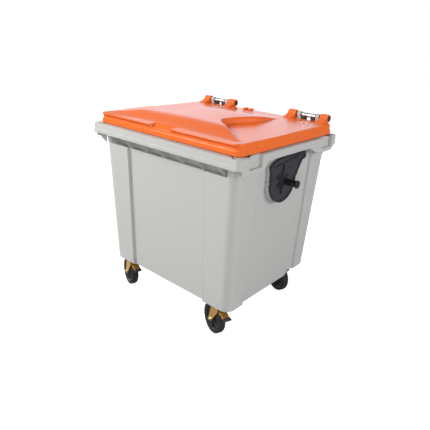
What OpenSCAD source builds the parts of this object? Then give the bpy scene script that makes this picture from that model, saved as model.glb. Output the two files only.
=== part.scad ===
// Four-wheeled waste container with a flat hinged lid.
// X is the long side, the comb rim faces -Y, Z is up and the floor is z = 0.

/* [Tub] */
// Outer width of the tub at the comb line
tub_top_w = 1136; // [1000:2:1300]
// Outer depth of the tub at the comb line
tub_top_d = 966; // [860:2:1100]
// Outer width of the tub at its lower edge
tub_base_w = 1052; // [950:2:1130]
// Outer depth of the tub at its lower edge
tub_base_d = 863; // [780:1:960]
// Radius of the tub's upright corners
tub_corner_r = 60; // [40:1:80]
// Thickness of the tub's walls
wall = 5; // [4:0.5:7]
// Thickness of the tub's floor
floor_t = 6; // [5:0.5:10]
// Height of the underside of the floor above the ground
floor_z = 256; // [250:1:290]
// Height of the lower edge of the tub's skirt above the ground
skirt_z = 224; // [205:1:235]
// Length of the raised stretch of the skirt at the rear
skirt_rise_len = 183; // [120:1:300]
// Depth of the recessed wall panels between the corner columns
panel_depth = 16; // [8:1:24]
// Depth of the recess behind the comb's ribs
comb_depth = 46; // [20:1:50]
// Width of the recessed panel in the front and rear walls
panel_front_w = 652; // [500:2:760]
// Width of the recessed panel in the end walls
panel_end_w = 574; // [420:2:640]
// Distance of the tub's centre behind the rim's centre
tub_offset = 8.5; // [0:0.5:16]

/* [Comb rim] */
// Outer width of the rim
rim_w = 1240; // [1200:2:1360]
// Outer depth of the rim
rim_d = 1067; // [1020:1:1200]
// Height of the rim's top above the ground
rim_top_z = 1200; // [1100:5:1300]
// Height of the rim's outer band
band_h = 62; // [50:1:80]
// Height of the thicker bead at the band's lower edge
bead_h = 24; // [10:1:36]
// Distance that the bead stands out
bead_out = 3; // [1:0.5:6]
// Thickness of the rim's deck and band
rim_t = 5; // [4:0.5:7]
// Radius of the rim's corners
rim_corner_r = 25; // [15:1:40]
// Distance from the rim's top down to the comb line
comb_drop = 128; // [110:1:150]
// Pitch of the comb's ribs
rib_pitch = 158; // [120:1:170]
// Number of comb ribs
rib_count = 7; // [3:2:9]
// Thickness of a rib
rib_t = 6; // [4:0.5:8]
// Distance that the end walls' blocks reach below the band
block_drop = 33; // [15:1:40]
// Half length of the arch in the end bands
arch_half = 222; // [180:2:240]
// Height of that arch
arch_rise = 17; // [8:1:30]
// Length of a slope between the arch and a block
block_run = 42; // [20:1:60]
// Length of a hand pocket in the rim's end
pocket_len = 116; // [80:1:140]
// Depth of a hand pocket
pocket_depth = 24; // [16:1:26]
// Height of a hand pocket
pocket_h = 70; // [50:1:80]
// Distance from the rim's corner to its hand pocket
pocket_inset = 99; // [70:1:130]

/* [Lid] */
// Width of the lid's lower flange
lid_w = 1180; // [1140:2:1300]
// Depth of the lid's main box
lid_d = 984; // [940:2:1100]
// Distance of the lid's centre behind the rim's centre
lid_offset = 7.5; // [0:0.5:14]
// Height of the lid's side walls
lid_h = 66; // [50:1:80]
// Running gap between the rim and the lid's edge
lid_gap = 4; // [3:0.5:8]
// Thickness of the lid's walls
lid_t = 4; // [3:0.5:6]
// Distance that the lower flange and the side panels stand out
flange_out = 6; // [3:0.5:8]
// Height of the lower flange
flange_h = 28; // [18:1:36]
// Distance that the grip lip stands out in front
lip_out = 16; // [10:1:24]
// Thickness of the grip lip
lip_t = 10; // [6:1:14]
// Width of the notch in the middle of the grip lip
notch_w = 176; // [100:2:240]
// Radius of the lid's corners
lid_corner_r = 28; // [15:1:40]
// Height of the dome above the lid's wings
dome_h = 42; // [20:1:42]
// Half the dome's width at its narrowest
dome_neck = 215; // [150:1:240]
// Half the dome's width at the rear
dome_rear_half = 272; // [245:1:320]

/* [Hinge] */
// Outer radius of the hinge tube
tube_r = 15; // [10:0.5:16]
// Wall of the hinge tube
tube_t = 2; // [1.5:0.5:3]
// Height of the hinge axis above the lid's wings
hinge_rise = 27; // [24:1:34]
// Distance of the hinge axis in front of the rim's rear edge
hinge_inset = 15; // [14:1:20]
// Radius of the lugs round the hinge tube
lug_r = 26; // [22:1:30]
// Distance that a lug's foot reaches ahead of the hinge axis
lug_run = 96; // [70:2:120]
// Distance of a hinge's middle from the lid's middle
hinge_x = 400; // [360:1:430]
// Clear distance between the two lugs of a hinge
hinge_span = 188; // [150:2:200]
// Width of the inner lug
lug_in_w = 62; // [40:1:70]
// Width of the outer lug
lug_out_w = 56; // [40:1:64]
// Radius of the black sleeve round the tube
bush_r = 19; // [17:0.5:20]
// Length of the stop below a tube, beside its sleeve
stop_len = 30; // [16:1:36]
// Width of that stop
stop_w = 26; // [20:1:28]
// Distance from the tube's axis to the foot of that stop
stop_drop = 42; // [30:1:48]
// Length of the black sleeve
bush_len = 42; // [30:1:50]

/* [Trunnions] */
// Overall width over the trunnion pins
overall_w = 1370; // [1320:2:1500]
// Height of the trunnion axis above the ground
trunnion_z = 987; // [940:1:1010]
// Position of the trunnion axis from front to back
trunnion_y = -47; // [-70:1:20]
// Radius of the trunnion pin
trunnion_r = 20; // [18:0.5:24]
// Radius of the pin's end flange
trunnion_flange_r = 25; // [22:0.5:30]
// Radius of the round lower part of the trunnion plate
plate_r = 134; // [110:1:140]
// Thickness of the trunnion plate
plate_t = 20; // [12:1:30]
// Distance from the tub's middle to the outer face of the plate
plate_x = 590; // [580:1:600]
// Pitch of the plate's bolts from front to back
plate_bolt_dy = 92; // [84:2:140]
// Pitch of the plate's bolts in height
plate_bolt_dz = 44; // [40:2:110]
// Shank radius of the plate's bolts
plate_bolt_r = 5; // [4:0.5:6]
// Depth of the plate's bolts in the tub's pad
plate_bolt_len = 20; // [14:1:22]

/* [Castors] */
// Diameter of the wheels
wheel_d = 200; // [180:5:200]
// Width of the tyres
wheel_w = 50; // [40:1:50]
// Overall height of a castor
castor_h = 238; // [236:0.5:245]
// Distance from a swivel axis to the container's middle
castor_x = 410; // [360:1:430]
// Position of the front swivel axes
castor_front_y = -368; // [-372:1:-300]
// Position of the rear swivel axes
castor_rear_y = 350; // [300:1:370]
// Distance from a swivel axis back to its axle
trail = 43; // [35:1:50]
// Direction in which the castors point
castor_heading = -20; // [-90:5:90]
// Length of a castor's top plate
plate_len = 135; // [120:1:140]
// Width of a castor's top plate
plate_wid = 100; // [90:1:110]
// Length pitch of the top plate's bolts
castor_bolt_dx = 105; // [90:1:110]
// Width pitch of the top plate's bolts
castor_bolt_dy = 74; // [66:1:76]
// Shank radius of the castor bolts
castor_bolt_r = 5; // [4:0.5:6]
// Radius of the kingpin
kingpin_r = 8; // [6:0.5:10]
// Radius of the axle
axle_r = 6; // [5:0.5:8]
// Radius of the bearing sleeve round the axle
sleeve_r = 10; // [9:0.5:12]
// Radius of the hub under the tyre
hub_r = 76; // [70:1:80]
// Angle that the brake pedal swings down to brake
brake_travel = 12; // [8:1:14]

/* [Drain] */
// Radius of the drain hole
drain_r = 30; // [20:1:40]
// Radius of the drain plug's flange
drain_flange_r = 38; // [36:1:48]
// Position of the drain from front to back
drain_y = -230; // [-300:5:-100]

/* [Clearances] */
// Radial running clearance on pins and axles
run_gap = 0.05; // [0.02:0.01:0.1]
// Clearance between faces that move past each other
face_gap = 0.3; // [0.2:0.05:0.6]
// Clearance of a bolt in its hole
bolt_gap = 0.3; // [0.1:0.1:0.6]

/* [Hidden] */
CASTORS = ["front_left", "front_right", "rear_left", "rear_right"];
CASTOR_PARTS = [
    "castor_plate", "castor_bolts", "kingpin", "ball_race", "fork", "axle", "bearing_sleeve", "wheel_hub", "tyre"
];
BRAKE_PARTS = ["brake_pedal", "brake_pad", "pedal_tip"];
SIDES = ["left", "right"];
SIDE_PARTS = ["hinge_tube", "trunnion_plate", "trunnion_pin", "trunnion_bolts"];

$fn = 48;

// Colours
tub_color = "#BDBDBA";
lid_color = "#FA6F22";
black_color = "#2E2E36";
tyre_color = "#1E1E20";
zinc_color = "#D9A441";
steel_color = "#B9BEC4";

// The depth from the rim's front to the rearmost lug is centred on y = 0
overall_d = rim_d + lug_r - hinge_inset;
rim_y = (rim_d - overall_d) / 2;
rim_front_y = rim_y - rim_d / 2;
rim_rear_y = rim_y + rim_d / 2;
tub_y = rim_y + tub_offset;
lid_y = rim_y + lid_offset;
comb_z = rim_top_z - comb_drop;
band_z = rim_top_z - band_h;
lid_z = rim_top_z + lid_gap;
lid_top_z = lid_z + lid_h;
hinge_y = rim_rear_y - hinge_inset;
hinge_z = lid_top_z + hinge_rise;
lid_front_y = lid_y - lid_d / 2;
lid_rear_y = lid_y + lid_d / 2;
lid_box_w = lid_w - 2 * flange_out;
wheel_r = wheel_d / 2;
mount_t = floor_z - castor_h;

// Half width and half depth of the tapered tub at height z
function taper(z) = (z - skirt_z) / (comb_z - skirt_z);
function tub_half_w(z) = (tub_base_w + (tub_top_w - tub_base_w) * taper(z)) / 2;
function tub_half_d(z) = (tub_base_d + (tub_top_d - tub_base_d) * taper(z)) / 2;
function lean_w() = atan((tub_half_w(comb_z) - tub_half_w(skirt_z)) / (comb_z - skirt_z));
function lean_d() = atan((tub_half_d(comb_z) - tub_half_d(skirt_z)) / (comb_z - skirt_z));
function smooth(t) = let (c = min(1, max(0, t))) c * c * (3 - 2 * c);

// ---- shared shapes -------------------------------------------------------

module rounded_rect(w, d, r) {
    square([w - 2 * r, d], center = true);
    square([w, d - 2 * r], center = true);
    for (sx = [-1, 1]) for (sy = [-1, 1]) {
        translate([sx * (w / 2 - r), sy * (d / 2 - r)]) circle(r = r);
    }
}

// Tapered box with rounded upright corners, its walls inset from the tub's
module tapered_box(z0, z1, inset) {
    r = tub_corner_r - inset;
    hull() {
        for (z = [z0, z1 - 1]) for (sx = [-1, 1]) for (sy = [-1, 1]) {
            x = tub_half_w(z) - inset - r;
            y = tub_half_d(z) - inset - r;
            translate([sx * x, sy * y, z]) cylinder(r = r, h = 1, $fn = 32);
        }
    }
}

// Slab that cuts a wall to the given depth, leaning with the wall
module wall_slab(half, lean, width, depth, z0, z1) {
    reach = 60;
    translate([0, -half, skirt_z]) rotate([lean, 0, 0]) {
        translate([-width / 2, -reach, (z0 - skirt_z) / cos(lean)]) {
            cube([width, reach + depth, (z1 - z0) / cos(lean)]);
        }
    }
}

// The recesses of all four walls, wider and deeper by grow
module panel_slabs(grow, z0, z1) {
    front_w = panel_front_w + 2 * grow;
    end_w = panel_end_w + 2 * grow;
    for (turn = [0, 180]) rotate([0, 0, turn]) {
        wall_slab(tub_half_d(skirt_z), lean_d(), front_w, panel_depth + grow, z0, z1);
    }
    for (turn = [90, 270]) rotate([0, 0, turn]) {
        wall_slab(tub_half_w(skirt_z), lean_w(), end_w, panel_depth + grow, z0, z1);
    }
}

// The recess behind the comb's ribs in the front wall
module comb_slab(grow, z1) {
    comb_w = rib_pitch * rib_count - rib_pitch + 100;
    wall_slab(tub_half_d(skirt_z), lean_d(), comb_w + 2 * grow, comb_depth + grow, comb_z - grow, z1);
}

module tube_x(r, x0, x1) {
    translate([x0, 0, 0]) rotate([0, 90, 0]) cylinder(r = r, h = x1 - x0);
}

module tube_y(r, y0, y1) {
    translate([0, y1, 0]) rotate([90, 0, 0]) cylinder(r = r, h = y1 - y0);
}

// ---- tub -----------------------------------------------------------------

// Band, bead and deck of the rim, hollow below the deck
module rim_solid() {
    translate([0, rim_y, 0]) {
        difference() {
            union() {
                translate([0, 0, band_z]) {
                    linear_extrude(bead_h) rounded_rect(rim_w, rim_d, rim_corner_r);
                }
                translate([0, 0, band_z]) {
                    linear_extrude(band_h) {
                        rounded_rect(rim_w - 2 * bead_out, rim_d - 2 * bead_out, rim_corner_r - bead_out);
                    }
                }
            }
            translate([0, 0, band_z - 1]) {
                linear_extrude(band_h - rim_t + 1) {
                    in = rim_t + bead_out;
                    rounded_rect(rim_w - 2 * in, rim_d - 2 * in, rim_corner_r - in);
                }
            }
        }
    }
}

// Cut that opens the band above the trunnion into an arch
module arch_cut() {
    translate([-rim_w, trunnion_y - arch_half, band_z - 1]) cube([2 * rim_w, 2 * arch_half, arch_rise + 1]);
}

// Blocks that reach below the band at both ends of the end walls
module end_blocks() {
    arch_y0 = trunnion_y - arch_half;
    arch_y1 = trunnion_y + arch_half;
    arch_z = band_z + arch_rise;
    for (sx = [-1, 1]) {
        translate([sx > 0 ? rim_w / 2 - bead_out - rim_t : -rim_w / 2 + bead_out, 0, 0]) {
            rotate([90, 0, 90]) linear_extrude(rim_t) {
                polygon([
                    [rim_front_y + rim_corner_r, band_z + 2], [rim_front_y + 40, band_z - block_drop],
                    [arch_y0 - block_run, band_z - block_drop], [arch_y0, arch_z],
                    [arch_y0, arch_z + 5], [rim_front_y + rim_corner_r, arch_z + 5]
                ]);
                polygon([
                    [arch_y1, arch_z + 5], [arch_y1, arch_z],
                    [arch_y1 + 2 * block_run, band_z - 20],
                    [arch_y1 + 3 * block_run, band_z - block_drop],
                    [rim_rear_y - 72, band_z - block_drop], [rim_rear_y - rim_corner_r, band_z + 2],
                    [rim_rear_y - rim_corner_r, arch_z + 5]
                ]);
            }
        }
    }
}

// Places one hand pocket at each end of both end walls
module at_pockets() {
    for (sx = [-1, 1]) for (sy = [-1, 1]) {
        near = sy < 0 ? rim_front_y + pocket_inset : rim_rear_y - pocket_inset + 27;
        translate([sx * (rim_w / 2), near, rim_top_z]) scale([sx, -sy, 1]) children();
    }
}

module pocket_wall() {
    translate([-pocket_depth - rim_t, -rim_t, -pocket_h - rim_t]) {
        cube([pocket_depth + rim_t - bead_out, pocket_len + 2 * rim_t, pocket_h + rim_t]);
    }
}

module pocket_cut() {
    translate([-pocket_depth, 0, -pocket_h]) cube([pocket_depth + 5, pocket_len, pocket_h + 5]);
}

// Gusset under the deck, from the comb line up to the band
module gusset(x) {
    foot = tub_half_d(comb_z) - comb_depth - wall / 2;
    inner = tub_half_d(rim_top_z) - comb_depth - wall / 2;
    translate([x - rib_t / 2, 0, 0]) rotate([90, 0, 90]) linear_extrude(rib_t) {
        polygon([
            [tub_y - foot, comb_z], [rim_front_y + rim_t, band_z + 4],
            [rim_front_y + rim_t, rim_top_z - rim_t], [tub_y - inner, rim_top_z - rim_t]
        ]);
    }
}

// Fins that carry the rim's corners
module corner_fins() {
    for (sx = [-1, 1]) for (sy = [-1, 1]) {
        translate([sx * (rim_w / 2 - 14), rim_y + sy * (rim_d / 2 - 14), 0]) scale([sx, sy, 1]) {
            rotate([0, 0, 45]) rotate([90, 0, 0]) translate([0, 0, -rib_t / 2]) linear_extrude(rib_t) {
                polygon([
                    [-75, comb_z - 12], [-5, band_z + 4],
                    [-5, rim_top_z - rim_t], [-75, rim_top_z - rim_t]
                ]);
            }
        }
    }
}

// Upright that carries the hinge tube beside each lug
module hinge_uprights() {
    upright_t = bush_len - 14;
    upright_d = 30;
    for (s = [-1, 1]) for (e = [-1, 1]) {
        x = s * hinge_x + e * (hinge_span / 2 - bush_len / 2 - 2);
        translate([x, hinge_y, 0]) difference() {
            union() {
                translate([-upright_t / 2, -upright_d / 2, rim_top_z - rim_t]) {
                    cube([upright_t, upright_d, hinge_z - rim_top_z + rim_t]);
                }
                translate([0, 0, hinge_z]) tube_x(bush_r + 5, -upright_t / 2, upright_t / 2);
            }
            translate([0, 0, hinge_z]) tube_x(bush_r, -upright_t, upright_t);
        }
    }
}

// Pads under the floor that the castors are bolted to
module castor_pads() {
    for (c = CASTORS) at_castor(c) {
        translate([-plate_len / 2 - 5, -plate_wid / 2 - 5, castor_h]) {
            cube([plate_len + 10, plate_wid + 10, mount_t + 1]);
        }
    }
}

module castor_bolt_holes(r, z0, z1) {
    for (sx = [-1, 1]) for (sy = [-1, 1]) {
        translate([sx * castor_bolt_dx / 2, sy * castor_bolt_dy / 2, z0]) cylinder(r = r, h = z1 - z0);
    }
}

// Raised rear stretch of the skirt, with sloped ends
module skirt_rise() {
    y1 = tub_y + tub_base_d / 2 + 40;
    y0 = y1 - 40 - skirt_rise_len;
    translate([-tub_top_w / 2, 0, 0]) rotate([90, 0, 90]) linear_extrude(tub_top_w) {
        polygon([[y0 - 38, skirt_z - 1], [y0, floor_z], [y1, floor_z], [y1, skirt_z - 1]]);
    }
}

// Pad on the end wall behind a trunnion plate
module trunnion_pads() {
    for (s = [-1, 1]) {
        mirror([s < 0 ? 1 : 0, 0, 0]) {
            x0 = tub_half_w(trunnion_z - plate_r) - panel_depth - wall - 2;
            translate([x0, 0, 0]) plate_outline(plate_x - plate_t - x0, 6);
        }
    }
}

module tub_shell() {
    color(tub_color) difference() {
        union() {
            translate([0, tub_y, 0]) {
                difference() {
                    tapered_box(skirt_z, rim_top_z, 0);
                    panel_slabs(0, skirt_z - 5, rim_top_z - rim_t);
                    comb_slab(0, rim_top_z - rim_t);
                }
            }
            difference() {
                rim_solid();
                arch_cut();
            }
            end_blocks();
            intersection() {
                at_pockets() pocket_wall();
                translate([0, rim_y, band_z - block_drop]) {
                    linear_extrude(band_h + block_drop) rounded_rect(rim_w - 2, rim_d - 2, rim_corner_r);
                }
            }
            for (i = [0 : rib_count - 1]) gusset((i - (rib_count - 1) / 2) * rib_pitch);
            corner_fins();
            hinge_uprights();
            trunnion_pads();
        }
        translate([0, tub_y, 0]) difference() {
            tapered_box(floor_z + floor_t, rim_top_z + 2, wall);
            panel_slabs(wall, floor_z - 20, rim_top_z + 10);
            comb_slab(wall, rim_top_z + 10);
        }
        translate([0, tub_y, 0]) difference() {
            tapered_box(skirt_z - 2, floor_z, wall);
            panel_slabs(wall, skirt_z - 20, comb_z);
            translate([0, -tub_y, 0]) castor_pads();
        }
        skirt_rise_below_pads();
        at_pockets() pocket_cut();
        for (c = CASTORS) at_castor(c) {
            castor_bolt_holes(castor_bolt_r + bolt_gap, castor_h - 1, castor_h + mount_t - 2);
        }
        translate([0, drain_y, floor_z - 1]) cylinder(r = drain_r, h = floor_t + 2);
        for (s = [-1, 1]) trunnion_bolt_holes(s);
    }
}

// The rise of the skirt leaves the rear castors' pads standing
module skirt_rise_below_pads() {
    difference() {
        skirt_rise();
        castor_pads();
    }
}

module trunnion_bolt_holes(s) {
    for (dy = [-1, 1]) for (dz = [-1, 1]) {
        translate([0, trunnion_y + dy * plate_bolt_dy / 2, trunnion_z + dz * plate_bolt_dz / 2]) {
            rotate([0, s * 90, 0]) translate([0, 0, plate_x - plate_t - plate_bolt_len]) {
                cylinder(r = plate_bolt_r + bolt_gap, h = plate_bolt_len + 2 * plate_t);
            }
        }
    }
}

// Screw plug that closes the drain hole from below
module drain_plug() {
    color(black_color) translate([0, drain_y, 0]) {
        translate([0, 0, floor_z - 6]) cylinder(r = drain_r - 2, h = floor_t + 6);
        translate([0, 0, floor_z - 9]) cylinder(r = drain_flange_r, h = 6);
        translate([-drain_r + 4, -4, floor_z - 22]) cube([2 * drain_r - 8, 8, 14]);
    }
}

module drain_seal() {
    color(tyre_color) translate([0, drain_y, floor_z - 3 + face_gap]) difference() {
        cylinder(r = drain_flange_r - 1, h = 3 - face_gap);
        translate([0, 0, -1]) cylinder(r = drain_r, h = 6);
    }
}

// ---- lid -----------------------------------------------------------------

neck_y = -180;
neck_round = 60;
dome_front_y = lid_front_y + 12;
dome_rear_y = lid_rear_y - 100;

// Half the dome's width at depth y: it flares to the front corners
function dome_half(y, inset) = let (
    ahead = neck_y - y,
    half = dome_neck + 0.6 * ahead + sqrt(ahead * ahead + neck_round * neck_round) - neck_round
) min(y < neck_y ? lid_box_w / 2 - 26 : dome_rear_half, half) - inset;
// Width of the dome's sloping side at depth y
function dome_ramp(y) = y < neck_y ? 22 + (neck_y - y) * 0.16 : 22;
// Height of the dome's crest at depth y
function dome_crest(y) = dome_h * smooth((y - dome_front_y) / 190) * smooth((dome_rear_y - y) / 330);

// Solid between a flat bottom at z0 and the dome's surface, which starts at z1
module dome_solid(z0, z1, inset) {
    rows = 30;
    sides = [-1, -0.8, -0.6, -0.4, -0.2, 0];
    flat = [-0.66, -0.33, 0, 0.33, 0.66];
    ys = [for (i = [0 : rows]) dome_front_y + inset + (dome_rear_y - dome_front_y - 2 * inset) * i / rows];
    function row_x(y) = let (half = dome_half(y, inset), ramp = min(dome_ramp(y), half / 2)) concat(
        [for (s = sides) -half + (s + 1) * ramp],
        [for (s = flat) s * (half - ramp)],
        [for (s = sides) half + s * ramp]
    );
    function skin_z(x, y) = let (half = dome_half(y, inset)) z1 +
        dome_crest(y) * smooth((half - abs(x)) / min(dome_ramp(y), half / 2)) * (1 - 0.12 * pow(x / half, 2));
    cols = 2 * len(sides) + len(flat);
    function right_x(y, j) = j < cols - len(sides) ? row_x(y)[j] : -row_x(y)[cols - 1 - j];
    top = [for (y = ys) for (j = [0 : cols - 1]) [right_x(y, j), y, skin_z(right_x(y, j), y)]];
    base = [for (y = ys) for (j = [0 : cols - 1]) [right_x(y, j), y, z0]];
    n = len(top);
    function at(i, j) = i * cols + j;
    faces = concat(
        [for (i = [0 : rows - 1]) for (j = [0 : cols - 2]) [at(i, j), at(i + 1, j), at(i + 1, j + 1)]],
        [for (i = [0 : rows - 1]) for (j = [0 : cols - 2]) [at(i, j), at(i + 1, j + 1), at(i, j + 1)]],
        [for (i = [0 : rows - 1]) for (j = [0 : cols - 2])
            [n + at(i, j), n + at(i + 1, j + 1), n + at(i + 1, j)]],
        [for (i = [0 : rows - 1]) for (j = [0 : cols - 2])
            [n + at(i, j), n + at(i, j + 1), n + at(i + 1, j + 1)]],
        [for (j = [0 : cols - 2]) [at(0, j), at(0, j + 1), n + at(0, j + 1), n + at(0, j)]],
        [for (j = [0 : cols - 2]) [at(rows, j + 1), at(rows, j), n + at(rows, j), n + at(rows, j + 1)]],
        [for (i = [0 : rows - 1]) [at(i + 1, 0), at(i, 0), n + at(i, 0), n + at(i + 1, 0)]],
        [for (i = [0 : rows - 1])
            [at(i, cols - 1), at(i + 1, cols - 1), n + at(i + 1, cols - 1), n + at(i, cols - 1)]]
    );
    polyhedron(points = concat(top, base), faces = faces);
}

// Box of the lid, of the given width, depth and height
module lid_box(w, d, r, z0, h) {
    translate([0, lid_y, z0]) linear_extrude(h) rounded_rect(w, d, r);
}

// Thin lip in front of the lid, open at the middle notch
module grip_lip() {
    lip_len = lid_box_w / 2 - notch_w / 2 - 16;
    for (s = [-1, 1]) {
        translate([s > 0 ? notch_w / 2 : -notch_w / 2 - lip_len, lid_front_y - lip_out, lid_top_z - lip_t]) {
            cube([lip_len, lip_out + 8, lip_t]);
        }
    }
}

// Side panels that stand out from the lid's ends
module side_panels() {
    for (s = [-1, 1]) {
        x0 = s > 0 ? lid_box_w / 2 - 1 : -lid_w / 2;
        translate([x0, 0, 0]) rotate([90, 0, 90]) linear_extrude(flange_out + 1) {
            polygon([
                [lid_y - 312, lid_z + 2], [lid_y + 48, lid_z + 2],
                [lid_y - 38, lid_top_z + 3], [lid_y - 312, lid_top_z + 3]
            ]);
        }
    }
}

// Sloped cut behind the middle notch, shifted inward by grow
module notch_cut(grow) {
    w = notch_w + 2 * grow;
    translate([-w / 2, 0, 0]) rotate([90, 0, 90]) linear_extrude(w) {
        polygon([
            [lid_front_y + 42 + 2 * grow, lid_top_z + 1], [lid_front_y - 1, lid_top_z - 30 - grow],
            [lid_front_y - 30, lid_top_z - 30 - grow], [lid_front_y - 30, lid_top_z + 1]
        ]);
    }
}

// One lug, between x0 and x1, that swings on the hinge tube
module lug(x0, x1) {
    back = lid_rear_y - hinge_y;
    translate([0, hinge_y, hinge_z]) difference() {
        union() {
            tube_x(lug_r, x0, x1);
            translate([x0, 0, 0]) rotate([90, 0, 90]) linear_extrude(x1 - x0) {
                polygon([
                    [-lug_run, -hinge_rise - 2], [-lug_r + 2, 4], [0, lug_r - 6], [15, -lug_r + 5],
                    [back, -hinge_rise - 22], [back, -hinge_rise - 2]
                ]);
            }
        }
        tube_x(tube_r + run_gap, x0 - 1, x1 + 1);
    }
}

module lid_lugs() {
    in_x = hinge_x - hinge_span / 2;
    out_x = hinge_x + hinge_span / 2;
    for (s = [-1, 1]) scale([s, 1, 1]) {
        lug(in_x - lug_in_w, in_x);
        lug(out_x, out_x + lug_out_w);
    }
}

// Two small stops on the rear edge of the lid
module rear_stops() {
    for (x = [-114, -66]) {
        translate([x - 12, lid_rear_y - 46, lid_top_z - 2]) cube([24, 44, 16]);
    }
}

module lid_shell() {
    color(lid_color) difference() {
        union() {
            lid_box(lid_box_w, lid_d, lid_corner_r, lid_z, lid_h);
            lid_box(lid_w, lid_d + 2 * flange_out, lid_corner_r + flange_out, lid_z, flange_h);
            grip_lip();
            side_panels();
            dome_solid(lid_top_z - lid_t + 1, lid_top_z - 1, 0);
            lid_lugs();
            rear_stops();
        }
        difference() {
            union() {
                lid_box(
                    lid_box_w - 2 * lid_t, lid_d - 2 * lid_t, lid_corner_r - lid_t,
                    lid_z - 1, lid_h - lid_t + 1
                );
                dome_solid(lid_top_z - 2 * lid_t, lid_top_z - 1 - lid_t, lid_t);
            }
            notch_cut(lid_t);
        }
        notch_cut(0);
        rear_trim();
    }
}

// The flange ends flush with the lid's box at the rear
module rear_trim() {
    translate([-lid_w, lid_rear_y, lid_z - 1]) cube([2 * lid_w, 2 * flange_out, flange_h + 2]);
}

// Rubber strips under the lid's front corners
module lid_buffers() {
    color(tyre_color) for (s = [-1, 1]) for (y = [lid_front_y, lid_rear_y - 90]) {
        translate([s * (lid_box_w / 2 - 1) - 3, y + 40, rim_top_z + face_gap]) {
            cube([6, 46, lid_gap - face_gap]);
        }
    }
}

// ---- hinge ---------------------------------------------------------------

module hinge_tube() {
    in_x = hinge_x - hinge_span / 2 - lug_in_w;
    out_x = hinge_x + hinge_span / 2 + lug_out_w;
    color(steel_color) translate([0, hinge_y, hinge_z]) difference() {
        tube_x(tube_r, in_x - 1, out_x + 1);
        tube_x(tube_r - tube_t, in_x - 2, out_x + 2);
    }
}

// Black sleeves that hold the tubes in the tub's uprights, each with a stop below its tube
module hinge_bushes() {
    color(black_color) for (s = [-1, 1]) for (e = [-1, 1]) {
        x = s * hinge_x + e * (hinge_span / 2 - bush_len / 2 - 2);
        translate([x, hinge_y, hinge_z]) difference() {
            union() {
                tube_x(bush_r, -bush_len / 2, bush_len / 2);
                translate([e < 0 ? bush_len / 2 - 1 : -bush_len / 2 - stop_len, -stop_w / 2, -stop_drop]) {
                    cube([stop_len + 1, stop_w, stop_drop]);
                }
            }
            tube_x(tube_r, -2 * bush_len, 2 * bush_len);
        }
    }
}

// Caps that close the ends of the hinge tubes
module hinge_caps() {
    in_x = hinge_x - hinge_span / 2 - lug_in_w - 1;
    out_x = hinge_x + hinge_span / 2 + lug_out_w + 1;
    color(black_color) for (s = [-1, 1]) scale([s, 1, 1]) translate([0, hinge_y, hinge_z]) {
        tube_x(tube_r + 4, in_x - 5, in_x);
        tube_x(tube_r - tube_t, in_x - 1, in_x + 14);
        tube_x(tube_r + 4, out_x, out_x + 5);
        tube_x(tube_r - tube_t, out_x - 14, out_x + 1);
    }
}

// ---- trunnions -----------------------------------------------------------

// Corners of the plate's wide head round the trunnion axis, each with the way inward from it
PLATE_HEAD = [
    [[-128, -30], [1, 0]], [[-130, 64], [1, 0]], [[-146, 105], [1, 0]], [[-112, 128], [0.4, -1]],
    [[-69, 140], [0, -1]], [[-18, 147], [0, -1]], [[232, 147], [-1, -1]], [[235, 106], [-1, 0.8]],
    [[196, 97], [-0.8, 1]], [[163, 50], [-1, 0.4]], [[144, 0], [-1, 0]]
];

// Outline of the plate: a round foot and the head, both inset by the same distance
module plate_outline(t, inset) {
    translate([0, trunnion_y, trunnion_z]) rotate([90, 0, 90]) linear_extrude(t) {
        circle(r = plate_r - inset);
        polygon([for (corner = PLATE_HEAD) corner[0] + inset * corner[1]]);
    }
}

// Dished black plate with a raised edge and an upright rib
plate_skin = 8;
module trunnion_plate() {
    color(black_color) difference() {
        union() {
            difference() {
                translate([plate_x - plate_t, 0, 0]) plate_outline(plate_t, 0);
                translate([plate_x - plate_t + plate_skin, 0, 0]) plate_outline(plate_t, 10);
            }
            translate([plate_x - plate_t, trunnion_y, trunnion_z]) {
                tube_x(trunnion_r + 16, 0, plate_t + 2);
                rotate([90, 0, 90]) linear_extrude(plate_t + 2) {
                    polygon([[-11, -80], [13, -80], [5, 100], [-5, 100]]);
                }
            }
        }
        trunnion_bolt_holes(1);
        translate([plate_x, trunnion_y, trunnion_z]) tube_x(trunnion_r, -plate_t + plate_skin, plate_t);
    }
}

// Ribbed pin with a flange at its end
module trunnion_pin() {
    root_x = plate_x - plate_t + plate_skin;
    tip_x = overall_w / 2;
    color(black_color) translate([0, trunnion_y, trunnion_z]) {
        tube_x(trunnion_r, root_x, tip_x - 2);
        tube_x(trunnion_flange_r, tip_x - 10, tip_x);
        tube_x(trunnion_r + 8, plate_x + 2, plate_x + 10);
    }
}

// Bolts of one plate, screwed into blind holes in the tub's pad
module trunnion_bolts() {
    head_x = plate_x - plate_t + plate_skin;
    head_r = 9;
    head_h = 6;
    color(zinc_color) for (dy = [-1, 1]) for (dz = [-1, 1]) {
        translate([0, trunnion_y + dy * plate_bolt_dy / 2, trunnion_z + dz * plate_bolt_dz / 2]) {
            tube_x(plate_bolt_r, plate_x - plate_t - plate_bolt_len, head_x + 1);
            translate([head_x, 0, 0]) rotate([0, 90, 0]) cylinder(r = head_r, h = head_h, $fn = 6);
        }
    }
}

// ---- castors -------------------------------------------------------------

function castor_sx(c) = (c == "front_left" || c == "rear_left") ? -1 : 1;
function castor_y(c) = (c == "front_left" || c == "front_right") ? castor_front_y : castor_rear_y;

// Origin on the swivel axis, square to the tub
module at_castor(c) {
    translate([castor_sx(c) * castor_x, castor_y(c), 0]) children();
}

// Origin on the swivel axis, turned with the fork
module at_fork(c) {
    at_castor(c) rotate([0, 0, castor_heading]) children();
}

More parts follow.
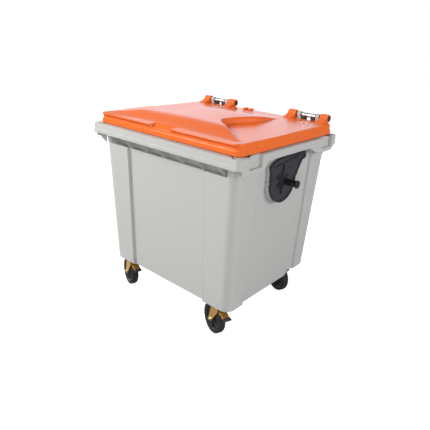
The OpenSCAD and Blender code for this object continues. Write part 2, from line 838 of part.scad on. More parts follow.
plate_z = castor_h - 5;
race_z = plate_z - 11;
crown_top_z = race_z - 10 - face_gap;
crown_t = 6;
crown_z = crown_top_z - crown_t;
leg_in = wheel_w / 2 + 4.5;
leg_t = 4;
axle_z = wheel_r;
pivot = [17, wheel_r + 90];
pivot_r = 4;

module castor_plate() {
    color(zinc_color) difference() {
        union() {
            translate([-plate_len / 2, -plate_wid / 2, plate_z]) cube([plate_len, plate_wid, 5]);
            translate([0, 0, race_z]) cylinder(r = 44, h = plate_z - race_z + 1);
        }
        translate([0, 0, race_z - 1]) cylinder(r = kingpin_r, h = 30);
        castor_bolt_holes(castor_bolt_r + bolt_gap, plate_z - 1, castor_h + 1);
    }
}

module castor_bolts() {
    color(steel_color) {
        castor_bolt_holes(castor_bolt_r, plate_z - 1, castor_h + mount_t - 4);
        for (sx = [-1, 1]) for (sy = [-1, 1]) {
            translate([sx * castor_bolt_dx / 2, sy * castor_bolt_dy / 2, plate_z - 7]) {
                cylinder(r = 9, h = 7, $fn = 6);
            }
        }
    }
}

module ball_race() {
    color(steel_color) translate([0, 0, crown_top_z + face_gap]) difference() {
        cylinder(r = 41, h = race_z - crown_top_z - face_gap);
        translate([0, 0, -1]) cylinder(r = 30, h = 20);
    }
}

module kingpin() {
    color(steel_color) {
        translate([0, 0, crown_z - 4]) cylinder(r = kingpin_r, h = castor_h - crown_z + 4);
        translate([0, 0, crown_z - 4 - face_gap]) cylinder(r = 13, h = 4);
    }
}

// Side view of one fork leg, from the crown down to the axle
module leg_outline() {
    foot_r = 17;
    translate([-trail, axle_z]) circle(r = foot_r);
    polygon([
        [-trail - foot_r, axle_z + 2], [-38, crown_z - 6], [-38, crown_top_z], [38, crown_top_z],
        [40, crown_z - 22], [24, crown_z - 40], [-trail + foot_r - 2, axle_z - 5]
    ]);
}

module fork() {
    color(zinc_color) difference() {
        union() {
            translate([-38, -leg_in - leg_t, crown_z]) cube([76, 2 * (leg_in + leg_t), crown_t]);
            for (y = [-leg_in - leg_t, leg_in]) {
                translate([0, y + leg_t, 0]) rotate([90, 0, 0]) linear_extrude(leg_t) leg_outline();
            }
        }
        translate([0, 0, crown_z - 1]) cylinder(r = kingpin_r + run_gap, h = crown_t + 2);
        translate([-trail, 0, axle_z]) tube_y(axle_r, -wheel_w, wheel_w);
        translate([pivot[0], 0, pivot[1]]) tube_y(pivot_r + run_gap, -wheel_w, wheel_w);
    }
}

// Axle bolt with its head and nut
module axle() {
    out = leg_in + leg_t;
    color(steel_color) translate([-trail, 0, axle_z]) {
        tube_y(axle_r, -out - 11, out + 1);
        translate([0, out + 8, 0]) rotate([90, 0, 0]) cylinder(r = 11, h = 8, $fn = 6);
        translate([0, -out, 0]) rotate([90, 0, 0]) cylinder(r = 11, h = 8, $fn = 6);
    }
}

module bearing_sleeve() {
    color(steel_color) translate([-trail, 0, axle_z]) difference() {
        tube_y(sleeve_r, -leg_in, leg_in);
        tube_y(axle_r, -wheel_w, wheel_w);
    }
}

// Wheel centre with a web and six spokes on each side
module wheel_hub() {
    half = leg_in - face_gap;
    rim_half = wheel_w / 2 - 3;
    color(black_color) translate([-trail, 0, axle_z]) difference() {
        union() {
            tube_y(22, -half, half);
            tube_y(hub_r, -3, 3);
            difference() {
                tube_y(hub_r, -rim_half, rim_half);
                tube_y(hub_r - 8, -wheel_w, wheel_w);
            }
            for (a = [0 : 60 : 300]) rotate([0, a, 0]) {
                translate([12, -rim_half + 4, -3]) cube([hub_r - 16, 2 * rim_half - 8, 6]);
            }
        }
        tube_y(sleeve_r + run_gap, -wheel_w, wheel_w);
    }
}

// Solid rubber tyre with a crowned tread and rounded shoulders
module tyre() {
    half = wheel_w / 2;
    color(tyre_color) translate([-trail, 0, axle_z]) rotate([90, 0, 0]) rotate_extrude($fn = 96) {
        polygon([
            [hub_r, -half + 3], [hub_r + 6, -half], [wheel_r - 9, -half], [wheel_r - 3, -half + 5],
            [wheel_r, -half + 14], [wheel_r, half - 14], [wheel_r - 3, half - 5], [wheel_r - 9, half],
            [hub_r + 6, half], [hub_r, half - 3]
        ]);
    }
}

// ---- brake ---------------------------------------------------------------

brake_half = 22;
pad_angle = 40;
pad_half_angle = 8;
pad_t = 8;
tip_x = 96;
tip_z = pivot[1] - 20;

// Point at radius r and angle a of the wheel, swung up with the resting pedal
function brake_point(r, a) = let (
    p = [-trail + r * cos(a), axle_z + r * sin(a)] - pivot,
    c = cos(brake_travel),
    s = sin(brake_travel)
) pivot + [p[0] * c - p[1] * s, p[0] * s + p[1] * c];

// Bent pedal that swings on its own cross pin in the fork
module brake_pedal() {
    back_r = wheel_r + face_gap + pad_t;
    low = pad_angle - pad_half_angle;
    high = pad_angle + pad_half_angle;
    color(zinc_color) {
        translate([pivot[0], 0, pivot[1]]) tube_y(pivot_r, -leg_in - leg_t - 1, leg_in + leg_t + 1);
        translate([pivot[0], 0, pivot[1]]) tube_y(pivot_r + 4, -brake_half, brake_half);
        translate([0, brake_half, 0]) rotate([90, 0, 0]) linear_extrude(2 * brake_half) {
            polygon([
                pivot + [0, 5], pivot + [40, 3], [tip_x, tip_z + 5], [tip_x, tip_z], pivot + [48, -6],
                brake_point(back_r + 5, low), brake_point(back_r, low), brake_point(back_r, high),
                pivot + [0, -5]
            ]);
        }
    }
}

// Black grip on the end of the pedal
module pedal_tip() {
    color(black_color) translate([0, brake_half + 2, 0]) rotate([90, 0, 0]) linear_extrude(2 * brake_half + 4) {
        polygon([[tip_x, tip_z - 3], [tip_x, tip_z + 9], [tip_x + 22, tip_z + 4], [tip_x + 22, tip_z - 6]]);
    }
}

// Pad that the pedal presses on the tyre
module brake_pad() {
    face_r = wheel_r + face_gap;
    color(tyre_color) translate([0, brake_half, 0]) rotate([90, 0, 0]) linear_extrude(2 * brake_half) {
        polygon(concat(
            [for (k = [-1 : 0.25 : 1]) brake_point(face_r, pad_angle + k * pad_half_angle)],
            [for (k = [1, -1]) brake_point(face_r + pad_t, pad_angle + k * pad_half_angle)]
        ));
    }
}

// ---- assembly ------------------------------------------------------------

function side_sx(s) = s == "left" ? -1 : 1;

tub_shell();
drain_plug();
drain_seal();
hinge_bushes();
hinge_caps();
lid_shell();
lid_buffers();

for (s = SIDES) {
    scale([side_sx(s), 1, 1]) hinge_tube();
    scale([side_sx(s), 1, 1]) trunnion_plate();
    scale([side_sx(s), 1, 1]) trunnion_pin();
    scale([side_sx(s), 1, 1]) trunnion_bolts();
}

for (c = CASTORS) {
    at_castor(c) castor_plate();
    at_castor(c) castor_bolts();
    at_castor(c) kingpin();
    at_castor(c) ball_race();
    at_fork(c) fork();
    at_fork(c) axle();
    at_fork(c) bearing_sleeve();
    at_fork(c) wheel_hub();
    at_fork(c) tyre();
}

for (c = [CASTORS[0], CASTORS[1]]) {
    at_fork(c) brake_pedal();
    at_fork(c) brake_pad();
    at_fork(c) pedal_tip();
}
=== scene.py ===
"""Looks of a four-wheeled waste container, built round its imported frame.

Sizes are in millimetres and become metres when a mesh is made. X runs along the long side,
the comb rim faces -Y, Z is up, and the wheels stand on z = 0.
"""

import sys

import logging
import math
from collections.abc import Callable, Iterable, Sequence
from dataclasses import dataclass, field
from enum import Enum

import bpy
import bmesh
from mathutils import Matrix, Vector


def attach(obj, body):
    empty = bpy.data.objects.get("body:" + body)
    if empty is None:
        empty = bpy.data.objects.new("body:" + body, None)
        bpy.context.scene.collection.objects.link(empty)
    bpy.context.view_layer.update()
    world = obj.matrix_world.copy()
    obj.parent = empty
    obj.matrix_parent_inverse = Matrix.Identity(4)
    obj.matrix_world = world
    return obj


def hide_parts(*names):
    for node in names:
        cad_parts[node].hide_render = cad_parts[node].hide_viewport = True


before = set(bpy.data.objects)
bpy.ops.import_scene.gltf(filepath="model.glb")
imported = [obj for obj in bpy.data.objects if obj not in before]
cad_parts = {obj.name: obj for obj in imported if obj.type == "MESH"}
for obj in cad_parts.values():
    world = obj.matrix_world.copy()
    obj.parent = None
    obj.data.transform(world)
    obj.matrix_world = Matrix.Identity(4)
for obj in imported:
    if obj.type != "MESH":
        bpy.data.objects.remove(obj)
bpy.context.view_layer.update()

MM = 0.001
log = logging.getLogger("container")

Pair = tuple[float, float]
Triple = tuple[float, float, float]
Placing = Callable[[float, float, float], Triple]


# ---- small sums ------------------------------------------------------------


def mix(a: float, b: float, t: float) -> float:
    """Returns the value that lies at share t of the way from a to b."""
    return a + (b - a) * t


def smooth(t: float) -> float:
    """Returns t as a soft step that is level at 0 and at 1."""
    t = min(1.0, max(0.0, t))
    return t * t * (3 - 2 * t)


def along_table(table: Sequence[Pair], x: float) -> float:
    """Reads a piecewise straight curve.

    Args:
        table: Points (x, value) with rising x.
        x: Where to read it.

    Returns:
        The value at x, held level past both ends.
    """
    if x <= table[0][0]:
        return table[0][1]
    for (x0, v0), (x1, v1) in zip(table, table[1:]):
        if x <= x1:
            return mix(v0, v1, (x - x0) / (x1 - x0))
    return table[-1][1]


def spread(values: Sequence[float], longest: float, count: int = 0) -> list[float]:
    """Adds points between values until they are dense enough.

    Args:
        values: Points in rising order.
        longest: Longest gap that may stay.
        count: Least number of points in the result.

    Returns:
        The points in rising order.
    """
    dense = list(values)
    while True:
        gaps = [b - a for a, b in zip(dense, dense[1:])]
        widest = max(range(len(gaps)), key=gaps.__getitem__)
        if gaps[widest] <= longest and len(dense) >= count:
            return dense
        dense.insert(widest + 1, (dense[widest] + dense[widest + 1]) / 2)


def rounded(corners: Sequence[Triple], steps: int = 5) -> list[Pair]:
    """Rounds the corners of an outline.

    Args:
        corners: Points (x, y, radius) of the outline, in order.
        steps: Number of chords in each rounded corner.

    Returns:
        The points of the rounded outline.
    """
    out: list[Pair] = []
    n = len(corners)
    for i, (x, y, radius) in enumerate(corners):
        here = Vector((x, y))
        back = Vector(corners[i - 1][:2]) - here
        ahead = Vector(corners[(i + 1) % n][:2]) - here
        half = back.angle(ahead) / 2
        if radius <= 0 or half > math.radians(88):
            out.append((x, y))
            continue
        reach = min(radius / math.tan(half), back.length * 0.48, ahead.length * 0.48)
        start = here + back.normalized() * reach
        end = here + ahead.normalized() * reach
        for k in range(steps + 1):
            t = k / steps
            point = start.lerp(here, t).lerp(here.lerp(end, t), t)
            out.append((point.x, point.y))
    return out


def inset(outline: Sequence[Pair], distance: float) -> list[Pair]:
    """Moves an outline inward by a distance, which is negative to move it outward.

    Args:
        outline: Points of a closed outline that runs counter-clockwise.
        distance: How far each point moves along its corner's bisector.

    Returns:
        As many points as the outline has.
    """
    out: list[Pair] = []
    n = len(outline)
    for i in range(n):
        here = Vector(outline[i])
        a = (here - Vector(outline[i - 1])).normalized()
        b = (Vector(outline[(i + 1) % n]) - here).normalized()
        normal = Vector((-a.y - b.y, a.x + b.x))
        if normal.length < 1e-6:
            normal = Vector((-a.y, a.x))
        normal.normalize()
        stretch = 1 / max(0.5, normal.dot(Vector((-a.y, a.x))))
        moved = here + normal * distance * stretch
        out.append((moved.x, moved.y))
    return out


def counter_clockwise(outline: Sequence[Pair]) -> list[Pair]:
    """Puts an outline in counter-clockwise order.

    Args:
        outline: The corner points, in either order.

    Returns:
        The same points, counter-clockwise.
    """
    n = len(outline)
    area = sum(
        outline[i - 1][0] * outline[i][1] - outline[i][0] * outline[i - 1][1] for i in range(n)
    )
    return list(outline) if area > 0 else list(reversed(outline))


# ---- finishes --------------------------------------------------------------


class Graph:
    """Short way to build a material's node tree."""

    def __init__(self, name: str) -> None:
        """Makes an empty material with an output and a principled shader.

        Args:
            name: The name of the material.
        """
        self.material = bpy.data.materials.new(name)
        self.material.use_nodes = True
        self.tree = self.material.node_tree
        self.shader = next(n for n in self.tree.nodes if n.type == "BSDF_PRINCIPLED")
        self.where = self.add("ShaderNodeTexCoord").outputs["Object"]

    def add(self, kind: str, **settings: object) -> bpy.types.Node:
        """Adds a node.

        Args:
            kind: The node's type.
            settings: Attributes to set on it.

        Returns:
            The new node.
        """
        node = self.tree.nodes.new(kind)
        for key, value in settings.items():
            setattr(node, key, value)
        return node

    def link(self, source: bpy.types.NodeSocket, target: bpy.types.NodeSocket) -> None:
        """Joins two sockets."""
        self.tree.links.new(source, target)

    def noise(
        self, scale: float, detail: float = 4.0, stretch: Triple = (1, 1, 1)
    ) -> bpy.types.NodeSocket:
        """Adds cloudy noise.

        Args:
            scale: Features per metre.
            detail: Octaves.
            stretch: Factor on each axis of the place where the noise is read.

        Returns:
            The noise's value, about 0 to 1.
        """
        placing = self.add("ShaderNodeMapping")
        placing.inputs["Scale"].default_value = stretch
        self.link(self.where, placing.inputs["Vector"])
        node = self.add("ShaderNodeTexNoise")
        node.inputs["Scale"].default_value = scale
        node.inputs["Detail"].default_value = detail
        self.link(placing.outputs["Vector"], node.inputs["Vector"])
        return node.outputs["Fac"]

    def ramp(
        self, source: bpy.types.NodeSocket, low: Pair, high: Pair
    ) -> bpy.types.NodeSocket:
        """Maps a value from one range to another, held at both ends.

        Args:
            source: The value.
            low: (input, output) at the low end.
            high: (input, output) at the high end.

        Returns:
            The mapped value.
        """
        node = self.add("ShaderNodeMapRange", clamp=True)
        self.link(source, node.inputs["Value"])
        node.inputs["From Min"].default_value = low[0]
        node.inputs["To Min"].default_value = low[1]
        node.inputs["From Max"].default_value = high[0]
        node.inputs["To Max"].default_value = high[1]
        return node.outputs["Result"]

    def times(
        self, a: bpy.types.NodeSocket, b: bpy.types.NodeSocket
    ) -> bpy.types.NodeSocket:
        """Multiplies two values.

        Args:
            a: The first value.
            b: The second value.

        Returns:
            The product.
        """
        node = self.add("ShaderNodeMath", operation="MULTIPLY")
        self.link(a, node.inputs[0])
        self.link(b, node.inputs[1])
        return node.outputs[0]

    def blend(
        self,
        share: bpy.types.NodeSocket,
        a: bpy.types.NodeSocket | Triple,
        b: Triple,
    ) -> bpy.types.NodeSocket:
        """Blends two colours.

        Args:
            share: Share of the second colour.
            a: First colour, or the socket that gives it.
            b: Second colour.

        Returns:
            The blended colour.
        """
        node = self.add("ShaderNodeMix", data_type="RGBA")
        self.link(share, node.inputs["Factor"])
        if isinstance(a, bpy.types.NodeSocket):
            self.link(a, node.inputs["A"])
        else:
            node.inputs["A"].default_value = (*a, 1)
        node.inputs["B"].default_value = (*b, 1)
        return node.outputs["Result"]

    def height(self) -> bpy.types.NodeSocket:
        """Reads how high the shaded point is.

        Returns:
            The height above the ground, in metres.
        """
        node = self.add("ShaderNodeSeparateXYZ")
        self.link(self.where, node.inputs[0])
        return node.outputs["Z"]

    def bump(self, layers: Sequence[tuple[bpy.types.NodeSocket, float]]) -> None:
        """Presses relief into the surface.

        Args:
            layers: Pairs of a height value and its depth in metres.
        """
        normal = None
        for value, depth in layers:
            node = self.add("ShaderNodeBump")
            node.inputs["Strength"].default_value = 1.0
            node.inputs["Distance"].default_value = depth
            self.link(value, node.inputs["Height"])
            if normal is not None:
                self.link(normal, node.inputs["Normal"])
            normal = node.outputs["Normal"]
        if normal is not None:
            self.link(normal, self.shader.inputs["Normal"])


@dataclass(frozen=True)
class MouldedPlastic:
    """Moulded polyethylene or polyamide: fine grain, cloudy tint, scuffs and a dusty foot."""

    name: str
    slot: str
    tint: Triple
    cloud: Triple
    scuff: Triple
    dust: Triple
    roughness: Pair
    grain: float = 0.00006
    waviness: float = 0.0008
    coat: float = 0.0
    dust_top: float = 0.42
    scuff_share: float = 0.35

    def build(self) -> bpy.types.Material:
        """Builds the node graph of this finish.

        Returns:
            The material.
        """
        g = Graph(self.name)
        cloud = g.ramp(g.noise(5.0, 3.0), (0.35, 0.0), (0.7, 1.0))
        colour = g.blend(cloud, self.tint, self.cloud)
        scratch = g.noise(90.0, 6.0, (0.25, 0.25, 3.0))
        patch = g.ramp(g.noise(7.0, 5.0), (0.48, 0.0), (0.66, 1.0))
        scuffs = g.times(g.ramp(scratch, (0.6, 0.0), (0.72, self.scuff_share)), patch)
        colour = g.blend(scuffs, colour, self.scuff)
        foot = g.ramp(g.height(), (0.2, 0.55), (self.dust_top, 0.0))
        dirt = g.times(foot, g.ramp(g.noise(24.0, 8.0), (0.38, 0.0), (0.68, 1.0)))
        colour = g.blend(dirt, colour, self.dust)
        g.link(colour, g.shader.inputs["Base Color"])
        rough = g.ramp(g.noise(40.0, 6.0), (0.3, self.roughness[0]), (0.7, self.roughness[1]))
        g.link(rough, g.shader.inputs["Roughness"])
        if self.coat:
            g.shader.inputs["Coat Weight"].default_value = self.coat
            g.shader.inputs["Coat Roughness"].default_value = 0.12
        g.bump([(g.noise(3.2, 2.0), self.waviness), (g.noise(1500.0, 3.0), self.grain), (scratch, 0.00005)])
        return g.material


@dataclass(frozen=True)
class PlatedMetal:
    """Zinc-plated steel, bright or yellow: blotches of the plating, brushing and dull spots."""

    name: str
    slot: str
    tint: Triple
    blotch: Triple
    dull: Triple
    roughness: Pair

    def build(self) -> bpy.types.Material:
        """Builds the node graph of this finish.

        Returns:
            The material.
        """
        g = Graph(self.name)
        blotch = g.ramp(g.noise(38.0, 3.0), (0.36, 0.0), (0.64, 1.0))
        colour = g.blend(blotch, self.tint, self.blotch)
        spots = g.ramp(g.noise(140.0, 8.0), (0.6, 0.0), (0.7, 0.7))
        colour = g.blend(spots, colour, self.dull)
        g.link(colour, g.shader.inputs["Base Color"])
        g.shader.inputs["Metallic"].default_value = 1.0
        rough = g.ramp(g.noise(70.0, 6.0), (0.3, self.roughness[0]), (0.7, self.roughness[1]))
        g.link(rough, g.shader.inputs["Roughness"])
        g.bump([(g.noise(500.0, 4.0, (0.2, 1, 1)), 0.00008), (g.noise(60.0, 2.0), 0.0002)])
        return g.material


@dataclass(frozen=True)
class Rubber:
    """Black rubber: chalky bloom, dust in the low spots and a fine pebbled skin."""

    name: str
    slot: str
    tint: Triple
    bloom: Triple
    roughness: Pair

    def build(self) -> bpy.types.Material:
        """Builds the node graph of this finish.

        Returns:
            The material.
        """
        g = Graph(self.name)
        bloom = g.ramp(g.noise(45.0, 8.0), (0.45, 0.0), (0.75, 0.8))
        g.link(g.blend(bloom, self.tint, self.bloom), g.shader.inputs["Base Color"])
        rough = g.ramp(g.noise(120.0, 6.0), (0.3, self.roughness[0]), (0.7, self.roughness[1]))
        g.link(rough, g.shader.inputs["Roughness"])
        g.bump([(g.noise(700.0, 4.0), 0.00018)])
        return g.material


class Finish(Enum):
    """The finishes on the container."""

    TUB = MouldedPlastic(
        "tub_plastic", "tub_plastic", (0.45, 0.45, 0.437), (0.415, 0.415, 0.405), (0.6, 0.6, 0.59),
        (0.27, 0.24, 0.2), (0.3, 0.42), coat=0.5,
    )
    LID = MouldedPlastic(
        "lid_plastic", "lid_plastic", (0.98, 0.165, 0.006), (0.95, 0.148, 0.005), (0.95, 0.34, 0.14),
        (0.5, 0.2, 0.1), (0.26, 0.36), coat=0.5, scuff_share=0.2,
    )
    BLACK = MouldedPlastic(
        "black_plastic", "black_plastic", (0.016, 0.016, 0.03), (0.022, 0.022, 0.038),
        (0.1, 0.1, 0.11), (0.12, 0.1, 0.08), (0.36, 0.5), dust_top=0.3,
    )
    PIN = MouldedPlastic(
        "pin_black", "black_plastic", (0.008, 0.008, 0.01), (0.012, 0.012, 0.014),
        (0.05, 0.05, 0.055), (0.05, 0.045, 0.04), (0.22, 0.34), dust_top=0.3,
    )
    TYRE = Rubber("tyre_rubber", "tyre_rubber", (0.018, 0.018, 0.02), (0.075, 0.07, 0.064), (0.62, 0.82))
    RUBBER = Rubber("soft_rubber", "rubber", (0.015, 0.015, 0.016), (0.04, 0.04, 0.04), (0.6, 0.78))
    GOLD = PlatedMetal(
        "yellow_zinc", "yellow_zinc", (0.86, 0.53, 0.16), (0.76, 0.40, 0.17), (0.5, 0.34, 0.18), (0.26, 0.42)
    )
    BLACK_STEEL = PlatedMetal(
        "black_steel", "black_steel", (0.05, 0.05, 0.056), (0.035, 0.035, 0.04), (0.1, 0.1, 0.1), (0.3, 0.45)
    )
    STEEL = PlatedMetal(
        "bright_zinc", "steel", (0.72, 0.73, 0.75), (0.62, 0.63, 0.65), (0.4, 0.4, 0.4), (0.2, 0.36)
    )

    def material(self) -> bpy.types.Material:
        """Returns this finish's material, made once."""
        known = bpy.data.materials.get(self.value.name)
        return known or self.value.build()


# ---- meshes ----------------------------------------------------------------


@dataclass
class Shell:
    """Points and faces of one piece while it is being built, in millimetres."""

    points: list[Triple] = field(default_factory=list)
    faces: list[tuple[int, ...]] = field(default_factory=list)

    def ring(self, points: Iterable[Triple]) -> list[int]:
        """Adds points.

        Args:
            points: The places to add, in order.

        Returns:
            Their numbers.
        """
        start = len(self.points)
        self.points.extend(tuple(p) for p in points)
        return list(range(start, len(self.points)))

    def band(self, a: Sequence[int], b: Sequence[int], closed: bool = True) -> None:
        """Joins two rings of equal length with four-sided faces.

        Args:
            a: The point numbers of the first ring.
            b: The point numbers of the second ring.
            closed: Whether the last point joins the first.
        """
        n = len(a)
        for i in range(n if closed else n - 1):
            j = (i + 1) % n
            self.faces.append((a[i], a[j], b[j], b[i]))

    def loft(self, rings: Sequence[Sequence[Triple]], caps: bool = True) -> None:
        """Skins closed rings in order.

        Args:
            rings: Rings of equal length.
            caps: Whether the first and last rings are closed; if not, they are joined.
        """
        made = [self.ring(r) for r in rings]
        for a, b in zip(made, made[1:]):
            self.band(a, b)
        if caps:
            self.faces.append(tuple(reversed(made[0])))
            self.faces.append(tuple(made[-1]))
        else:
            self.band(made[-1], made[0])

    def prism(self, outline: Sequence[Pair], z0: float, z1: float, edge: float, place: Placing) -> None:
        """Adds a plate of any outline with rounded edges.

        Args:
            outline: Points of the outline.
            z0: Lower face.
            z1: Upper face.
            edge: Radius of its edges.
            place: Turns (u, v, w) of the outline and the height into a place.
        """
        flat = counter_clockwise(outline)
        levels = [(edge, z0), (edge * 0.3, z0 + edge * 0.3), (0, z0 + edge)]
        levels += [(0, z1 - edge), (edge * 0.3, z1 - edge * 0.3), (edge, z1)]
        self.loft([[place(u, v, w) for u, v in inset(flat, d)] for d, w in levels])

    def box(self, low: Triple, high: Triple, edge: float, corner: float = 0) -> None:
        """Adds a box with rounded edges.

        Args:
            low: Lowest corner.
            high: Highest corner.
            edge: Radius of the edges of its top and bottom.
            corner: Radius of its upright edges.
        """
        (x0, y0, z0), (x1, y1, z1) = low, high
        r = corner or edge
        outline = rounded([(x0, y0, r), (x1, y0, r), (x1, y1, r), (x0, y1, r)], 3)
        self.prism(outline, z0, z1, edge, lambda u, v, w: (u, v, w))

    def lathe(self, profile: Sequence[Pair], place: Placing, sides: int = 64, closed: bool = True) -> None:
        """Turns a profile about an axis.

        Args:
            profile: Points (along, radius).
            place: Turns (across, up, along) into a place.
            sides: Number of sides.
            closed: Whether the profile is a closed loop; if not, its ends are capped.
        """
        rings = []
        for along, radius in profile:
            turns = [2 * math.pi * k / sides for k in range(sides)]
            rings.append([place(radius * math.cos(a), radius * math.sin(a), along) for a in turns])
        self.loft(rings, caps=not closed)

    def holed(
        self, outline: Sequence[Pair], hole: float, x0: float, x1: float, edge: float, place: Placing
    ) -> None:
        """Adds a plate with a round hole at the origin of its outline.

        Args:
            outline: Points of an outline that every ray from the origin crosses once.
            hole: Radius of the hole.
            x0: One face.
            x1: The other face.
            edge: Radius of the outer edges.
            place: Turns (u, v, w) into a place.
        """
        flat = counter_clockwise(outline)
        turns = [math.atan2(v, u) for u, v in flat]
        circle = [(hole * math.cos(a), hole * math.sin(a)) for a in turns]
        levels = [(circle, x0), (inset(flat, edge), x0), (inset(flat, edge * 0.3), x0 + edge * 0.3)]
        levels += [(flat, x0 + edge), (flat, x1 - edge), (inset(flat, edge * 0.3), x1 - edge * 0.3)]
        levels += [(inset(flat, edge), x1), (circle, x1)]
        self.loft([[place(u, v, w) for u, v in ring] for ring, w in levels], caps=False)

    def piece(
        self, name: str, finish: Finish, body: str, stands_for: Sequence[str] = (), sharp: float = 50
    ) -> bpy.types.Object:
        """Makes the object, dresses it and puts it on its body.

        Args:
            name: Name of the piece.
            finish: Its finish.
            body: Body that it moves with.
            stands_for: Nodes of the frame that it replaces.
            sharp: Angle in degrees above which an edge stays sharp.

        Returns:
            The object.
        """
        mesh = bpy.data.meshes.new(name)
        mesh.from_pydata([tuple(c * MM for c in p) for p in self.points], [], self.faces)
        work = bmesh.new()
        work.from_mesh(mesh)
        bmesh.ops.remove_doubles(work, verts=work.verts, dist=0.01 * MM)
        bmesh.ops.dissolve_degenerate(work, edges=work.edges, dist=0.005 * MM)
        bmesh.ops.recalc_face_normals(work, faces=work.faces)
        work.to_mesh(mesh)
        work.free()
        mesh.shade_smooth()
        mesh.set_sharp_from_angle(angle=math.radians(sharp))
        made = bpy.data.objects.new(name, mesh)
        bpy.context.scene.collection.objects.link(made)
        even = made.modifiers.new("even", "WEIGHTED_NORMAL")
        even.keep_sharp = True
        bpy.context.view_layer.update()
        shaded = bpy.data.meshes.new_from_object(made.evaluated_get(bpy.context.evaluated_depsgraph_get()))
        made.modifiers.clear()
        made.data = shaded
        made.data.name = name
        made.data.materials.clear()
        made.data.materials.append(finish.material())
        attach(made, body)
        if stands_for:
            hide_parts(*stands_for)
        log.info("%s: %d faces on %s", name, len(made.data.polygons), body)
        return made


def along_x(sign: float = 1, y: float = 0, z: float = 0) -> Placing:
    """Returns a placing that lays an outline in the Y-Z plane and its height along X."""
    return lambda u, v, w: (sign * w, y + u, z + v)


# ---- tub -------------------------------------------------------------------


class Side(Enum):
    """The four walls, in the order in which a ring of points passes them."""

    FRONT = 0
    RIGHT = 1
    REAR = 2
    LEFT = 3


@dataclass(frozen=True)
class Station:
    """One place on the way round the tub.

    side is the wall; turn is None on a wall, or the share of the corner that follows the wall;
    spot is the place on the tub's wall in panel units; rim is the place along the rim.
    """

    side: Side
    turn: float | None
    spot: float
    rim: float


